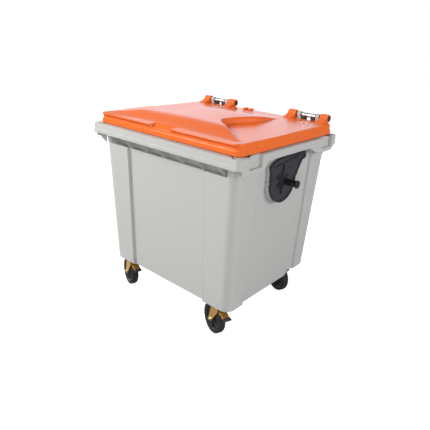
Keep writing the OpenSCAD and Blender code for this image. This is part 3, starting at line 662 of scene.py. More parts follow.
@dataclass
class Tub:
    """Tapered tub with recessed panels, comb rim, hand pockets and comb ribs; the hinge uprights and pads are
    made by HingeLine and Trunnion.
    """

    top_w: float = 1136
    top_d: float = 966
    base_w: float = 1052
    base_d: float = 863
    corner_r: float = 60
    wall: float = 5
    floor_z: float = 256
    floor_t: float = 6
    skirt_z: float = 224
    rear_skirt_z: float = 256.5
    rise_y: float = 251.5
    rise_run: float = 38
    recess: float = 16
    comb_recess: float = 46
    front_edge: float = 326
    end_edge: float = 287
    centre_y: float = 3
    comb_z: float = 1072
    rim_w: float = 1240
    rim_d: float = 1067
    rim_y: float = -5.5
    rim_r: float = 25
    rim_z: float = 1200
    rim_t: float = 5
    bead_out: float = 3
    bead_top: float = 1166
    band_z: float = 1138
    block_z: float = 1105
    arch_z: float = 1155
    arch_y: Pair = (-269, 175)
    pockets: tuple[Pair, Pair] = ((-440, -324), (340, 456))
    pocket_deep: float = 24
    pocket_z: float = 1130
    rib_pitch: float = 158
    rib_count: int = 7
    rib_t: float = 6
    rib_edge: float = 1.2
    fin_reach: float = 75
    fin_inset: float = 14
    drain_y: float = -230
    drain_r: float = 30

    # Share of the recess at a distance from a panel's edge, outside positive. The column has a
    # low bead beside the panel, where the share is below 0.
    STEP = (
        (-9, 1), (-5.5, 0.985), (-3.4, 0.93), (-2.1, 0.8), (-1, 0.5), (0, 0.1), (1.6, -0.1),
        (4, -0.13), (7, -0.05), (11, 0),
    )
    # Flat stretch past a panel's edge that keeps the step's shape at any wall width
    MARGIN = 14
    # Share of the comb's recess at a height above its ledge, and at a place along the column
    LEDGE = ((-5, 0), (-1.5, 0.03), (-0.3, 0.12), (0.2, 0.5), (0.8, 0.85), (2, 0.97), (5, 1))
    COMB_END = ((0.80, 1), (0.86, 0.93), (0.9, 0.5), (0.94, 0.07), (0.99, 0))
    # Share of a hand pocket's depth at a distance inside its edge
    POCKET_STEP = ((-3, 0), (-1, 0.03), (-0.2, 0.12), (0.2, 0.5), (0.7, 0.88), (1.6, 0.97), (3.5, 1))
    # Heights of the rings of points on the wall, below the ledge and above it
    LOW_ROWS = (300, 480, 680, 880, 1000)
    HIGH_ROWS = (1110, 1150)

    def half(self, z: float) -> Pair:
        """Returns the tub's half width and half depth at height z."""
        t = (z - self.skirt_z) / (self.comb_z - self.skirt_z)
        return mix(self.base_w, self.top_w, t) / 2, mix(self.base_d, self.top_d, t) / 2

    def bottom(self, y: float) -> float:
        """Returns the height of the skirt's lower edge at depth y."""
        return mix(self.skirt_z, self.rear_skirt_z, smooth((y - self.rise_y + self.rise_run) / self.rise_run))

    def stations(self) -> list[Station]:
        """Lists the places round the tub.

        Returns:
            The stations, which every ring shares.
        """
        step = [d for d, _ in self.STEP]
        spots, rims = {}, {}
        for side, edge in ((Side.FRONT, self.front_edge), (Side.RIGHT, self.end_edge)):
            reach = edge + self.MARGIN
            inner = [-1 * (edge + d) / reach for d in reversed(step)] + [(edge + d) / reach for d in step]
            ends = [1 + (k / 14) for k in (0, 5, 10, 11.6, 12.2, 12.7, 13.4, 14)]
            spots[side] = sorted([-e for e in ends] + inner + ends)
            spots[side] = spread(spots[side], 0.22)
        rims[Side.RIGHT] = self.end_rim()
        need = max(len(spots[Side.RIGHT]), len(rims[Side.RIGHT]))
        spots[Side.RIGHT] = spread(spots[Side.RIGHT], 9, need)
        rims[Side.RIGHT] = spread(rims[Side.RIGHT], 999, need)
        hw, _ = self.half(self.comb_z)
        scale = (self.rim_w / 2 - self.rim_r) / (hw - self.corner_r)
        rims[Side.FRONT] = [self.front_spot(s, self.comb_z) * scale for s in spots[Side.FRONT]]
        out: list[Station] = []
        for side in Side:
            key = Side.FRONT if side in (Side.FRONT, Side.REAR) else Side.RIGHT
            pairs = list(zip(spots[key], rims[key]))
            if side in (Side.REAR, Side.LEFT):
                pairs.reverse()
            out += [Station(side, None, s, r) for s, r in pairs]
            out += [Station(side, k / 9, 0, 0) for k in range(1, 9)]
        return out

    def end_rim(self) -> list[float]:
        """Lists the depths at which the rim's end bands need a point.

        Returns:
            The depths, rising.
        """
        low, high = self.rim_y - self.rim_d / 2 + self.rim_r, self.rim_y + self.rim_d / 2 - self.rim_r
        marks = [low, high]
        for y0, y1 in self.pockets:
            for d in (-8, -6, -5.4, -5, -4.6, -4, -3, -1, -0.2, 0.4, 0.9, 1.6, 3.5):
                marks += [y0 + d, y1 - d]
        marks += [y for y, _ in self.band_foot() if low < y < high]
        a0, a1 = self.arch_y
        marks += [a0 + 8, a0 - 8, a1 - 8, a1 + 10]
        kept: list[float] = []
        for y in sorted(marks):
            if low <= y <= high and (not kept or y - kept[-1] > 0.35):
                kept.append(y)
        kept[-1] = high
        return spread(kept, 30)

    def band_foot(self) -> list[Pair]:
        """Draws the band's lower edge along an end of the rim.

        Returns:
            Points (depth, height) with rising depth.
        """
        front, rear = self.rim_y - self.rim_d / 2, self.rim_y + self.rim_d / 2
        a0, a1 = self.arch_y
        return [
            (front + 25, self.band_z + 2), (front + 31, self.band_z - 6), (front + 38, self.block_z + 4),
            (front + 44, self.block_z), (a0 - 44, self.block_z), (a0 - 38, self.block_z + 5),
            (a0 - 6, self.arch_z - 6), (a0 + 4, self.arch_z), (a1 - 6, self.arch_z),
            (a1 + 8, self.arch_z - 4), (a1 + 84, self.block_z + 13), (a1 + 118, self.block_z + 2),
            (a1 + 134, self.block_z), (rear - 74, self.block_z), (rear - 66, self.block_z + 3),
            (rear - 31, self.band_z - 3), (rear - 25, self.band_z + 2),
        ]

    def front_spot(self, s: float, z: float) -> float:
        """Returns the place along the front wall at height z for a spot in panel units."""
        return self.along(s, self.front_edge, self.half(z)[0])

    def along(self, s: float, edge: float, half: float) -> float:
        """Turns a spot in panel units into a distance from the wall's middle.

        Args:
            s: The spot, where -1 and 1 are the ends of the panel.
            edge: Half of the panel's width.
            half: Half of the wall, with its corners.

        Returns:
            The signed distance from the wall's middle.
        """
        reach = edge + self.MARGIN
        if abs(s) <= 1:
            return s * reach
        return math.copysign(mix(reach, half - self.corner_r, abs(s) - 1), s)

    def depth(self, side: Side, c: float, s: float, z: float) -> float:
        """Works out how deep the wall is recessed.

        Args:
            side: The side of the tub.
            c: The distance from the wall's middle.
            s: The same place in panel units.
            z: The height.

        Returns:
            The depth below the plain wall.
        """
        edge = self.front_edge if side in (Side.FRONT, Side.REAR) else self.end_edge
        deep = along_table(self.STEP, abs(c) - edge) * self.recess
        if side is Side.FRONT:
            over = along_table(self.LEDGE, z - self.comb_z)
            inside = along_table(self.COMB_END, abs(s) - 1)
            deep = mix(deep, self.comb_recess, over * inside)
        return deep

    def wall_point(self, st: Station, z: float, out: float) -> Triple:
        """Places a station on the tub's wall.

        Args:
            st: The station.
            z: The height.
            out: How far to move outward.

        Returns:
            The place.
        """
        hw, hd = self.half(z)
        if st.turn is None:
            if st.side in (Side.FRONT, Side.REAR):
                c = self.along(st.spot, self.front_edge, hw)
                y = hd + out - self.depth(st.side, c, st.spot, z - out)
                return (c, self.centre_y + (-y if st.side is Side.FRONT else y), z)
            c = self.along(st.spot, self.end_edge, hd)
            x = hw + out - self.depth(st.side, c, st.spot, z - out)
            return (x if st.side is Side.RIGHT else -x, self.centre_y + c, z)
        return self.corner_point(st, hw, hd, self.corner_r, self.centre_y, out, z)

    def corner_point(
        self, st: Station, hw: float, hd: float, r: float, cy: float, out: float, z: float
    ) -> Triple:
        """Places a station on a rounded upright corner.

        Args:
            st: The station, which lies in a corner.
            hw: Half of the width.
            hd: Half of the depth.
            r: The corner's radius.
            cy: The middle along the depth.
            out: How far to move outward.
            z: The height.

        Returns:
            The place.
        """
        angle = math.radians(-90 + 90 * (st.side.value + st.turn))
        sx = 1 if st.side in (Side.FRONT, Side.RIGHT) else -1
        sy = 1 if st.side in (Side.RIGHT, Side.REAR) else -1
        x = sx * (hw - r) + (r + out) * math.cos(angle)
        y = cy + sy * (hd - r) + (r + out) * math.sin(angle)
        return (x, y, z)

    def rim_point(self, st: Station, out: float, z: float) -> Triple:
        """Places a station on the rim's outline.

        Args:
            st: The station.
            out: How far to move outward.
            z: The height.

        Returns:
            The place.
        """
        hw, hd = self.rim_w / 2, self.rim_d / 2
        if st.turn is None:
            if st.side in (Side.FRONT, Side.REAR):
                return (st.rim, self.rim_y + (-(hd + out) if st.side is Side.FRONT else hd + out), z)
            return ((hw + out) * (1 if st.side is Side.RIGHT else -1), st.rim, z)
        return self.corner_point(st, hw, hd, self.rim_r, self.rim_y, out, z)

    def in_pocket(self, y: float, wider: float) -> float:
        """Tells how far a depth lies in a hand pocket.

        Args:
            y: The depth to look at.
            wider: How much to widen the pocket at both ends.

        Returns:
            1 in a pocket and 0 outside, with a soft but steep edge.
        """
        best = 0.0
        for y0, y1 in self.pockets:
            best = max(best, along_table(self.POCKET_STEP, min(y - y0, y1 - y) + wider))
        return best

    def rim_profile(self, st: Station) -> list[Pair]:
        """Draws the rim's section at a station.

        Args:
            st: The station.

        Returns:
            Points (outward, height) from the deck out, down, in and back up.
        """
        top, t = self.rim_z, self.rim_t
        bead, foot, face = self.bead_top, self.band_z, -self.bead_out
        back = face - t
        front = [(-12, top), (-7, top - 0.7), (-4.2, top - 3), (face, top - 6.5)]
        front += [(face, bead), (-2.4, bead - 2), (-1, bead - 3.7), (-0.2, bead - 5), (0, bead - 7)]
        front += [(0, foot + 12), (0, foot + 3.5), (-0.9, foot + 1), (face, foot), (-6, foot)]
        front += [(back, foot + 2), (back, foot + 12), (back, foot + 22), (back, foot + 32)]
        front += [(back, top - t - 2), (back - 2, top - t)]
        if st.turn is None and st.side in (Side.FRONT, Side.REAR):
            return front
        if st.turn is None:
            return self.end_profile(st.rim)
        low, high = self.rim_y - self.rim_d / 2 + self.rim_r, self.rim_y + self.rim_d / 2 - self.rim_r
        near = low if st.side in (Side.FRONT, Side.LEFT) else high
        share = smooth(st.turn if st.side in (Side.FRONT, Side.REAR) else 1 - st.turn)
        return [(mix(a, c, share), mix(b, d, share)) for (a, b), (c, d) in zip(front, self.end_profile(near))]

    def end_profile(self, y: float) -> list[Pair]:
        """Draws the section of the rim's end band.

        Args:
            y: The depth to cut at.

        Returns:
            Points (outward, height), as many as the rim's plain section has.
        """
        top, t, foot = self.rim_z, self.rim_t, along_table(self.band_foot(), y)
        p, q = self.in_pocket(y, 0), self.in_pocket(y, 5)
        face = -self.bead_out
        rear = face - t
        deep, back = face - self.pocket_deep, rear - self.pocket_deep
        high = top - 6.5
        shares = (0.696, 0.731, 0.741, 0.746, 0.757, 0.789)
        plain = [(-12, top), (-7, top - 0.7), (-4.2, top - 3), (face, high)]
        plain += [(face, mix(high, foot + 3, g)) for g in shares]
        plain += [(face, foot + 3), (-3.7, foot + 1), (-5, foot), (-6.3, foot + 0.3), (rear, foot + 2)]
        inner = [0.22, 0.25, 0.28]
        plain += [(rear, mix(foot + 2, top - t - 2, g)) for g in inner]
        plain += [(rear, top - t - 2), (rear - 2, top - t)]
        z = self.pocket_z
        pocket = [(deep - 9, top), (deep - 4, top - 0.7), (deep - 1.2, top - 3), (deep, high)]
        pocket += [(deep, z + 5), (deep + 1, z + 1.2), (deep + 4, z), (-7, z), (-4, z - 1), (face, z - 4)]
        pocket += [(face, foot + 3), (-3.7, foot + 1), (-5, foot), (-6.3, foot + 0.3), (rear, foot + 2)]
        behind = [(rear, z - 6), (back + 3, z - 5), (back, z - 2), (back, top - t - 2), (back - 2, top - t)]
        mixed = [(mix(a, c, p), mix(b, d, p)) for (a, b), (c, d) in zip(plain[:15], pocket)]
        mixed += [(mix(a, c, q), mix(b, d, q)) for (a, b), (c, d) in zip(plain[15:], behind)]
        return mixed

    def rings(self) -> list[list[Triple]]:
        """Builds the rings of the whole shell.

        Returns:
            The rings, from the drain hole out and back to it.
        """
        places = self.stations()
        top, t = self.rim_z, self.rim_t

        def level(z: float, out: float) -> list[Triple]:
            """Returns the ring at height z, moved outward by out."""
            return [self.wall_point(st, z, out) for st in places]

        def hole(z: float) -> list[Triple]:
            """Builds the drain hole's ring.

            Args:
                z: The height.

            Returns:
                One place for each station.
            """
            ring = []
            for x, y, _ in level(self.floor_z, -self.wall):
                a = math.atan2(y - self.drain_y, x)
                ring.append((self.drain_r * math.cos(a), self.drain_y + self.drain_r * math.sin(a), z))
            return ring

        def skirt(rise: float, out: float) -> list[Triple]:
            """Builds a ring along the skirt's lower edge.

            Args:
                rise: How far to raise it.
                out: How far to move it outward.

            Returns:
                One place for each station.
            """
            ring = []
            for st in places:
                y = self.wall_point(st, self.skirt_z, out)[1]
                ring.append(self.wall_point(st, self.bottom(y) + rise, out))
            return ring

        out = [hole(self.floor_z), level(self.floor_z, -self.wall)]
        out += [skirt(0.2, -self.wall), skirt(0, -self.wall + 1)]
        out += [skirt(0, -1.4), skirt(0.5, -0.4), skirt(1.8, 0)]
        below, above = list(self.LOW_ROWS), [*self.HIGH_ROWS, top - t]
        ledge = [self.comb_z - d for d in (5, 2, 0.8, 0.2, -0.3, -1.5, -5)]
        out += [level(z, 0) for z in below + ledge + above]
        profiles = [self.rim_profile(st) for st in places]
        for k in reversed(range(len(profiles[0]))):
            out.append([self.rim_point(st, *profiles[i][k]) for i, st in enumerate(places)])
        out += [level(top, -self.wall + 4), level(top - 1, -self.wall + 1), level(top - 4, -self.wall)]
        inner = below + [z - self.wall for z in ledge] + above[:-1]
        out += [level(z, -self.wall) for z in reversed(inner)]
        floor = self.floor_z + self.floor_t
        out += [level(floor + 12, -self.wall), level(floor + 4, -self.wall - 3.5)]
        out += [level(floor, -self.wall - 12), hole(floor)]
        return out

    def ribs(self, shell: Shell) -> None:
        """Adds the comb's ribs and the fins under the rim's corners.

        Args:
            shell: The mesh that receives them.
        """
        foot = self.half(self.comb_z)[1] - self.comb_recess - self.wall / 2
        inner = self.half(self.rim_z)[1] - self.comb_recess - self.wall / 2
        ledge_y = self.centre_y - self.half(self.comb_z)[1] + self.recess + 2
        edge_y = self.rim_y - self.rim_d / 2 + self.rim_t + 1
        outline = [
            (self.centre_y - foot, self.comb_z - 1), (ledge_y, self.comb_z - 1), (edge_y, self.band_z + 3),
            (edge_y, self.rim_z - self.rim_t + 1), (self.centre_y - inner, self.rim_z - self.rim_t + 1),
        ]
        for i in range(self.rib_count):
            x = (i - (self.rib_count - 1) / 2) * self.rib_pitch
            shell.prism(outline, x - self.rib_t / 2, x + self.rib_t / 2, self.rib_edge, along_x())
        fin = [(-self.fin_reach, self.comb_z - 12), (-6, self.band_z + 4)]
        fin += [(-6, self.rim_z - 4), (-self.fin_reach, self.rim_z - 4)]
        half_turn = math.sqrt(0.5)
        for sx in (-1, 1):
            for sy in (-1, 1):
                cx = sx * (self.rim_w / 2 - self.fin_inset)
                cy = self.rim_y + sy * (self.rim_d / 2 - self.fin_inset)

                def place(
                    u: float, v: float, w: float, cx: float = cx, cy: float = cy, sx: int = sx, sy: int = sy
                ) -> Triple:
                    """Places a fin's point on the diagonal of its corner."""
                    return (cx + sx * (u + w) * half_turn, cy + sy * (u - w) * half_turn, v)

                shell.prism(fin, -self.rib_t / 2, self.rib_t / 2, self.rib_edge, place)

    def build(self) -> None:
        """Makes the tub's pieces."""
        shell = Shell()
        shell.loft(self.rings(), caps=False)
        shell.piece("tub_walls", Finish.TUB, "tub", ["tub_shell"], 60)
        ribs = Shell()
        self.ribs(ribs)
        ribs.piece("comb_ribs", Finish.TUB, "tub")


@dataclass
class HingeLine:
    """Uprights, tubes, sleeves and caps on which the lid swings."""

    y: float = 513
    z: float = 1297
    deck_z: float = 1195
    middle: float = 400
    span: float = 188
    inner_w: float = 62
    outer_w: float = 56
    tube_r: float = 15
    tube_t: float = 2
    tube_edge: float = 0.6
    sleeve_r: float = 16.8
    sleeve_len: float = 42
    upright_half: float = 15
    stop_len: float = 30
    stop_half: float = 13
    stop_drop: float = 42

    def build(self) -> None:
        """Makes the uprights on the tub, and one tube for each side."""
        uprights, sleeves, caps = Shell(), Shell(), Shell()
        for s in (-1, 1):
            place = along_x(s, self.y, self.z)
            lathe_place = self.axis_placing(s)
            for e in (-1, 1):
                x = self.middle + e * (self.span / 2 - self.sleeve_len / 2 - 2)
                self.upright(uprights, x, place)
                sleeves.lathe(self.sleeve_profile(x), lathe_place, 48)
                self.stop(sleeves, x - e * self.sleeve_len / 2, -e, place)
            inner = self.middle - self.span / 2 - self.inner_w - 1
            outer = self.middle + self.span / 2 + self.outer_w + 1
            for end, way in ((inner, -1), (outer, 1)):
                caps.lathe(self.cap_profile(end, way), lathe_place, 40, closed=False)
            tube = Shell()
            r, bore = self.tube_r, self.tube_r - self.tube_t
            edge = self.tube_edge
            section = [(inner, bore), (inner, r - edge), (inner + edge, r)]
            section += [(outer - edge, r), (outer, r - edge), (outer, bore)]
            tube.lathe(section, lathe_place, 48)
            side = "left" if s < 0 else "right"
            tube.piece(f"{side}_tube", Finish.STEEL, "tub", [f"{side}_hinge_tube"])
        uprights.piece("tube_uprights", Finish.TUB, "tub")
        sleeves.piece("tube_sleeves", Finish.BLACK, "tub", ["hinge_bushes"])
        caps.piece("tube_caps", Finish.BLACK, "tub", ["hinge_caps"])

    def axis_placing(self, s: float) -> Placing:
        """Returns the placing of a lathe on the hinge axis of one side."""
        return lambda u, v, w: (s * w, self.y + u, self.z + v)

    def upright(self, shell: Shell, x: float, place: Placing) -> None:
        """Adds the upright round a sleeve.

        Args:
            shell: The mesh that receives it.
            x: The sleeve's middle.
            place: Turns the drawing into places on the bin.
        """
        r, foot, half = self.sleeve_r + 2.8, self.deck_z - self.z, self.upright_half
        arc = [(r * math.cos(a), r * math.sin(a)) for a in [math.radians(-45 + 15 * k) for k in range(19)]]
        outline = [(half + 3, foot), (half, foot + 60)] + arc + [(-half, foot + 60), (-half - 3, foot)]
        width = self.sleeve_len / 2 - 7
        shell.holed(outline, self.sleeve_r, x - width, x + width, 2, place)

    def stop(self, shell: Shell, x: float, way: float, place: Placing) -> None:
        """Adds the stop that cradles the tube.

        Args:
            shell: The mesh that receives it.
            x: Where the stop starts.
            way: 1 when it runs towards rising x, or -1.
            place: Turns the drawing into places on the bin.
        """
        r = self.tube_r + 0.1
        dip = math.acos(self.stop_half / r)
        arc = [mix(-dip, dip - math.pi, k / 10) for k in range(11)]
        outline = [(-self.stop_half, -self.stop_drop), (self.stop_half, -self.stop_drop)]
        outline += [(r * math.cos(a), r * math.sin(a)) for a in arc]
        x0, x1 = sorted((x - way, x + way * self.stop_len))
        shell.prism(outline, x0, x1, 1.2, place)

    def sleeve_profile(self, x: float) -> list[Pair]:
        """Draws the section of a sleeve, with a shoulder at each end.

        Args:
            x: The sleeve's middle.

        Returns:
            Points (x, radius).
        """
        h, r = self.sleeve_len / 2, self.sleeve_r
        left = [(x - h, self.tube_r), (x - h, r - 1), (x - h + 1, r), (x - h + 5, r), (x - h + 6, r - 0.8)]
        right = [(2 * x - a, b) for a, b in reversed(left)]
        return left + right

    def cap_profile(self, end: float, way: float) -> list[Pair]:
        """Draws the section of a cap that closes a tube.

        Args:
            end: Where the tube ends.
            way: 1 when outward is rising x, or -1.

        Returns:
            Points (x, radius).
        """
        r, plug = self.tube_r + 4, self.tube_r - self.tube_t
        points = [(end - 14 * way, plug - 1), (end - 13 * way, plug), (end, plug), (end, r - 0.8)]
        points += [(end + 0.8 * way, r), (end + 3.4 * way, r)]
        points += [(end + 5 * way, r - 1.6), (end + 5 * way, r - 6), (end + 4 * way, r - 7)]
        return points


# ---- lid -------------------------------------------------------------------


@dataclass
class Lid:
    """Flat lid with a flared dome, grip lip, end panels and hinge lugs."""

    half_w: float = 584
    half_d: float = 492
    centre_y: float = 2
    low: float = 1204
    top: float = 1270
    corner_r: float = 28
    flange: float = 6
    flange_h: float = 28
    skin: float = 4
    lip: float = 16
    lip_t: float = 10
    notch_half: float = 88
    notch_run: float = 42
    notch_drop: float = 22
    panel_y: Pair = (-310, 50)
    panel_slant: float = 86
    dome_h: float = 42
    neck_half: float = 215
    neck_y: float = -180
    neck_round: float = 60
    rear_half: float = 272
    cell: float = 6
    fillet: float = 5

    def front(self) -> float:
        """Returns the depth of the lid's front wall."""
        return self.centre_y - self.half_d

    def rear(self) -> float:
        """Returns the depth of the lid's rear wall."""
        return self.centre_y + self.half_d

    def dome(self, x: float, y: float) -> float:
        """Works out how high the dome stands above the lid's wings.

        Args:
            x: The place along the width.
            y: The place along the depth.

        Returns:
            The height, 0 on the wings.
        """
        front, rear = self.front() + 12, self.rear() - 100
        ahead = self.neck_y - y
        half = self.neck_half + 0.6 * ahead + math.hypot(ahead, self.neck_round) - self.neck_round
        half = min(self.half_w - 26 if ahead > 0 else self.rear_half, half)
        ramp = 19 + 0.15 * ahead if ahead > 0 else 19
        ramp = min(ramp, half / 2)
        crest = self.dome_h * smooth((y - front) / 190) * smooth((rear - y) / 330)
        return crest * smooth((half - abs(x)) / ramp) * (1 - 0.12 * (x / half) ** 2)

    def notch(self, x: float, y: float) -> float:
        """Returns how deep the middle notch is at a place."""
        across = smooth((self.notch_half + 3 - abs(x)) / 6)
        return self.notch_drop * across * min(1.0, max(0.0, 1 - (y - self.front()) / self.notch_run))

    def surface(self, x: float, y: float) -> float:
        """Returns the height of the lid's upper face."""
        return self.top + self.dome(x, y) - self.notch(x, y)

    def grid(self, edge: float) -> list[list[Pair]]:
        """Fills the lid's outline with places.

        Args:
            edge: How far the outline is inset.

        Returns:
            Rows from the front to the rear, each from left to right.
        """
        nx, ny = round(2 * self.half_w / self.cell), round(2 * self.half_d / self.cell)
        hw, hd, r = self.half_w - edge, self.half_d - edge, self.corner_r - edge
        rows = []
        for j in range(ny + 1):
            row = []
            for i in range(nx + 1):
                x, y = -hw + 2 * hw * i / nx, -hd + 2 * hd * j / ny
                a, b = (abs(x) - hw + r) / r, (abs(y) - hd + r) / r
                if a > 0 and b > 0:
                    x = math.copysign(hw - r + r * a * math.sqrt(1 - b * b / 2), x)
                    y = math.copysign(hd - r + r * b * math.sqrt(1 - a * a / 2), y)
                row.append((x, self.centre_y + y))
            rows.append(row)
        return rows

    def outward(self, x: float, y: float) -> Pair:
        """Finds the direction that points out of the lid's outline.

        Args:
            x: The border place along the width.
            y: The border place along the depth.

        Returns:
            A vector of length 1.
        """
        hw, hd, r = self.half_w, self.half_d, self.corner_r
        dx = max(0.0, abs(x) - hw + r)
        dy = max(0.0, abs(y - self.centre_y) - hd + r)
        if dx == 0 or dy == 0:
            if abs(x) / hw > abs(y - self.centre_y) / hd:
                return (math.copysign(1, x), 0.0)
            return (0.0, math.copysign(1, y - self.centre_y))
        size = math.hypot(dx, dy)
        return (math.copysign(dx / size, x), math.copysign(dy / size, y - self.centre_y))

    def wall_section(self, x: float, y: float) -> list[Pair]:
        """Draws the lid's wall at a border place.

        Args:
            x: The border place along the width.
            y: The border place along the depth.

        Returns:
            Points (outward of the box, height), down the outside and back up inside.
        """
        zt, zf, low = self.surface(x, y), self.low + self.flange_h, self.low
        plain = [(-3.4, zt - 0.4), (-1.3, zt - 1.6), (-0.2, zt - 3.6), (0, zt - 6), (0, zt - 9), (0, zt - 13)]
        plain += [(0, zf + 4), (0.7, zf + 1.6), (3, zf + 0.3), (5, zf - 0.8), (6, zf - 3)]
        lip = self.lip
        bold = [(6, zt), (lip - 2, zt - 0.5), (lip - 0.5, zt - 1.8), (lip, zt - 4), (lip - 0.6, zt - 8)]
        bold += [(-2.6, zt - self.lip_t), (-2.6, zt - self.lip_t - 9)] + plain[7:]
        out = self.flange
        panel = [(1, zt + 1.4), (out - 1.6, zt + 1.2), (out - 0.4, zt), (out, zt - 3)]
        panel += [(out, zt - 9), (out, zt - 16), (out, zf + 4), (out, zf + 2), (out, zf)]
        panel += [(out, zf - 0.8), (out, zf - 3)]
        at_front = smooth((self.front() + 14 - y) / 8)
        rest = self.half_w - 16 - abs(x)
        with_lip = at_front * smooth((abs(x) - self.notch_half) / 5) * smooth(rest / 14)
        at_end = smooth((abs(x) - self.half_w + 16) / 8)
        slots = []
        for (a, b), (c, d), (e, f) in zip(plain, bold, panel):
            high = min(1.0, max(0.0, (b - zf) / (self.top - zf)))
            last = self.panel_y[1] - self.panel_slant * high
            in_panel = at_end * smooth((y - self.panel_y[0]) / 7) * smooth((last - y) / 7)
            across = a + (c - a) * with_lip + (e - a) * in_panel
            up = b + (d - b) * with_lip + (f - b) * in_panel
            slots.append((across, up))
        at_rear = smooth((y - self.rear() + 16) / 8)
        slots = [(min(a, mix(a, 0, at_rear)), b) for a, b in slots]
        foot = mix(6, 0, at_rear)
        slots += [(foot, low + 2), (foot - 0.6, low + 0.6), (foot - 2, low), (-2, low), (-3.4, low + 0.6)]
        slots += [(-4, low + 2), (-4, zf), (-4, zt - 12)]
        return slots

    def build(self) -> None:
        """Makes the lid's skin, lugs and stops."""
        shell = Shell()
        upper = self.grid(self.fillet)
        over = [shell.ring((x, y, self.surface(x, y)) for x, y in row) for row in upper]
        for a, b in zip(over, over[1:]):
            shell.band(a, b, closed=False)
        loop = self.border(over)
        places = self.border(upper)
        sections = [self.wall_section(x, y) for x, y in places]
        last = loop
        for k in range(len(sections[0])):
            ring = []
            for (x, y), section in zip(places, sections):
                nx, ny = self.outward(x, y)
                out, z = section[k]
                ring.append((x + nx * (self.fillet + out), y + ny * (self.fillet + out), z))
            made = shell.ring(ring)
            shell.band(last, made)
            last = made
        lower = self.grid(self.fillet + self.skin + 2)
        under = [shell.ring((x, y, self.surface(x, y) - self.skin) for x, y in row) for row in lower]
        for a, b in zip(under, under[1:]):
            shell.band(b, a, closed=False)
        shell.band(last, self.border(under))
        shell.piece("lid_skin", Finish.LID, "lid", ["lid_shell"], 60)
        self.lugs()

    @staticmethod
    def border(rows: Sequence[Sequence]) -> list:
        """Picks the items on the border of a grid.

        Args:
            rows: The rows of the grid, all of one length.

        Returns:
            The items in order round it.
        """
        right = [row[-1] for row in rows[1:]]
        left = [row[0] for row in reversed(rows[1:-1])]
        return list(rows[0]) + right + list(reversed(rows[-1][:-1])) + left

    def lugs(self) -> None:
        """Makes the four lugs round the hinge tubes, and the two small stops."""
        hinge = HingeLine()
        back, drop = self.rear() - hinge.y, self.top - hinge.z
        r = 26
        arc = [(r * math.cos(a), r * math.sin(a)) for a in [math.radians(-50 + 15 * k) for k in range(15)]]
        outline = arc + [(-30, -3), (-62, -15), (-94, drop - 1), (-97, drop - 4)]
        outline += [(back - 2, drop - 20), (back, drop - 18)]
        lugs = Shell()
        for s in (-1, 1):
            inner = hinge.middle - hinge.span / 2
            outer = hinge.middle + hinge.span / 2
            place = along_x(s, hinge.y, hinge.z)
            lugs.holed(outline, hinge.tube_r + 0.3, inner - hinge.inner_w, inner, 3, place)
            lugs.holed(outline, hinge.tube_r + 0.3, outer, outer + hinge.outer_w, 3, place)
        lugs.piece("lid_lugs", Finish.LID, "lid")
        stops = Shell()
        for x in (-114, -66):
            z, y = self.top, self.rear()
            stops.box((x - 12, y - 46, z - 3), (x + 12, y - 2, z + 14), 4, 5)
        stops.piece("lid_stops", Finish.LID, "lid")


# ---- trunnions -------------------------------------------------------------


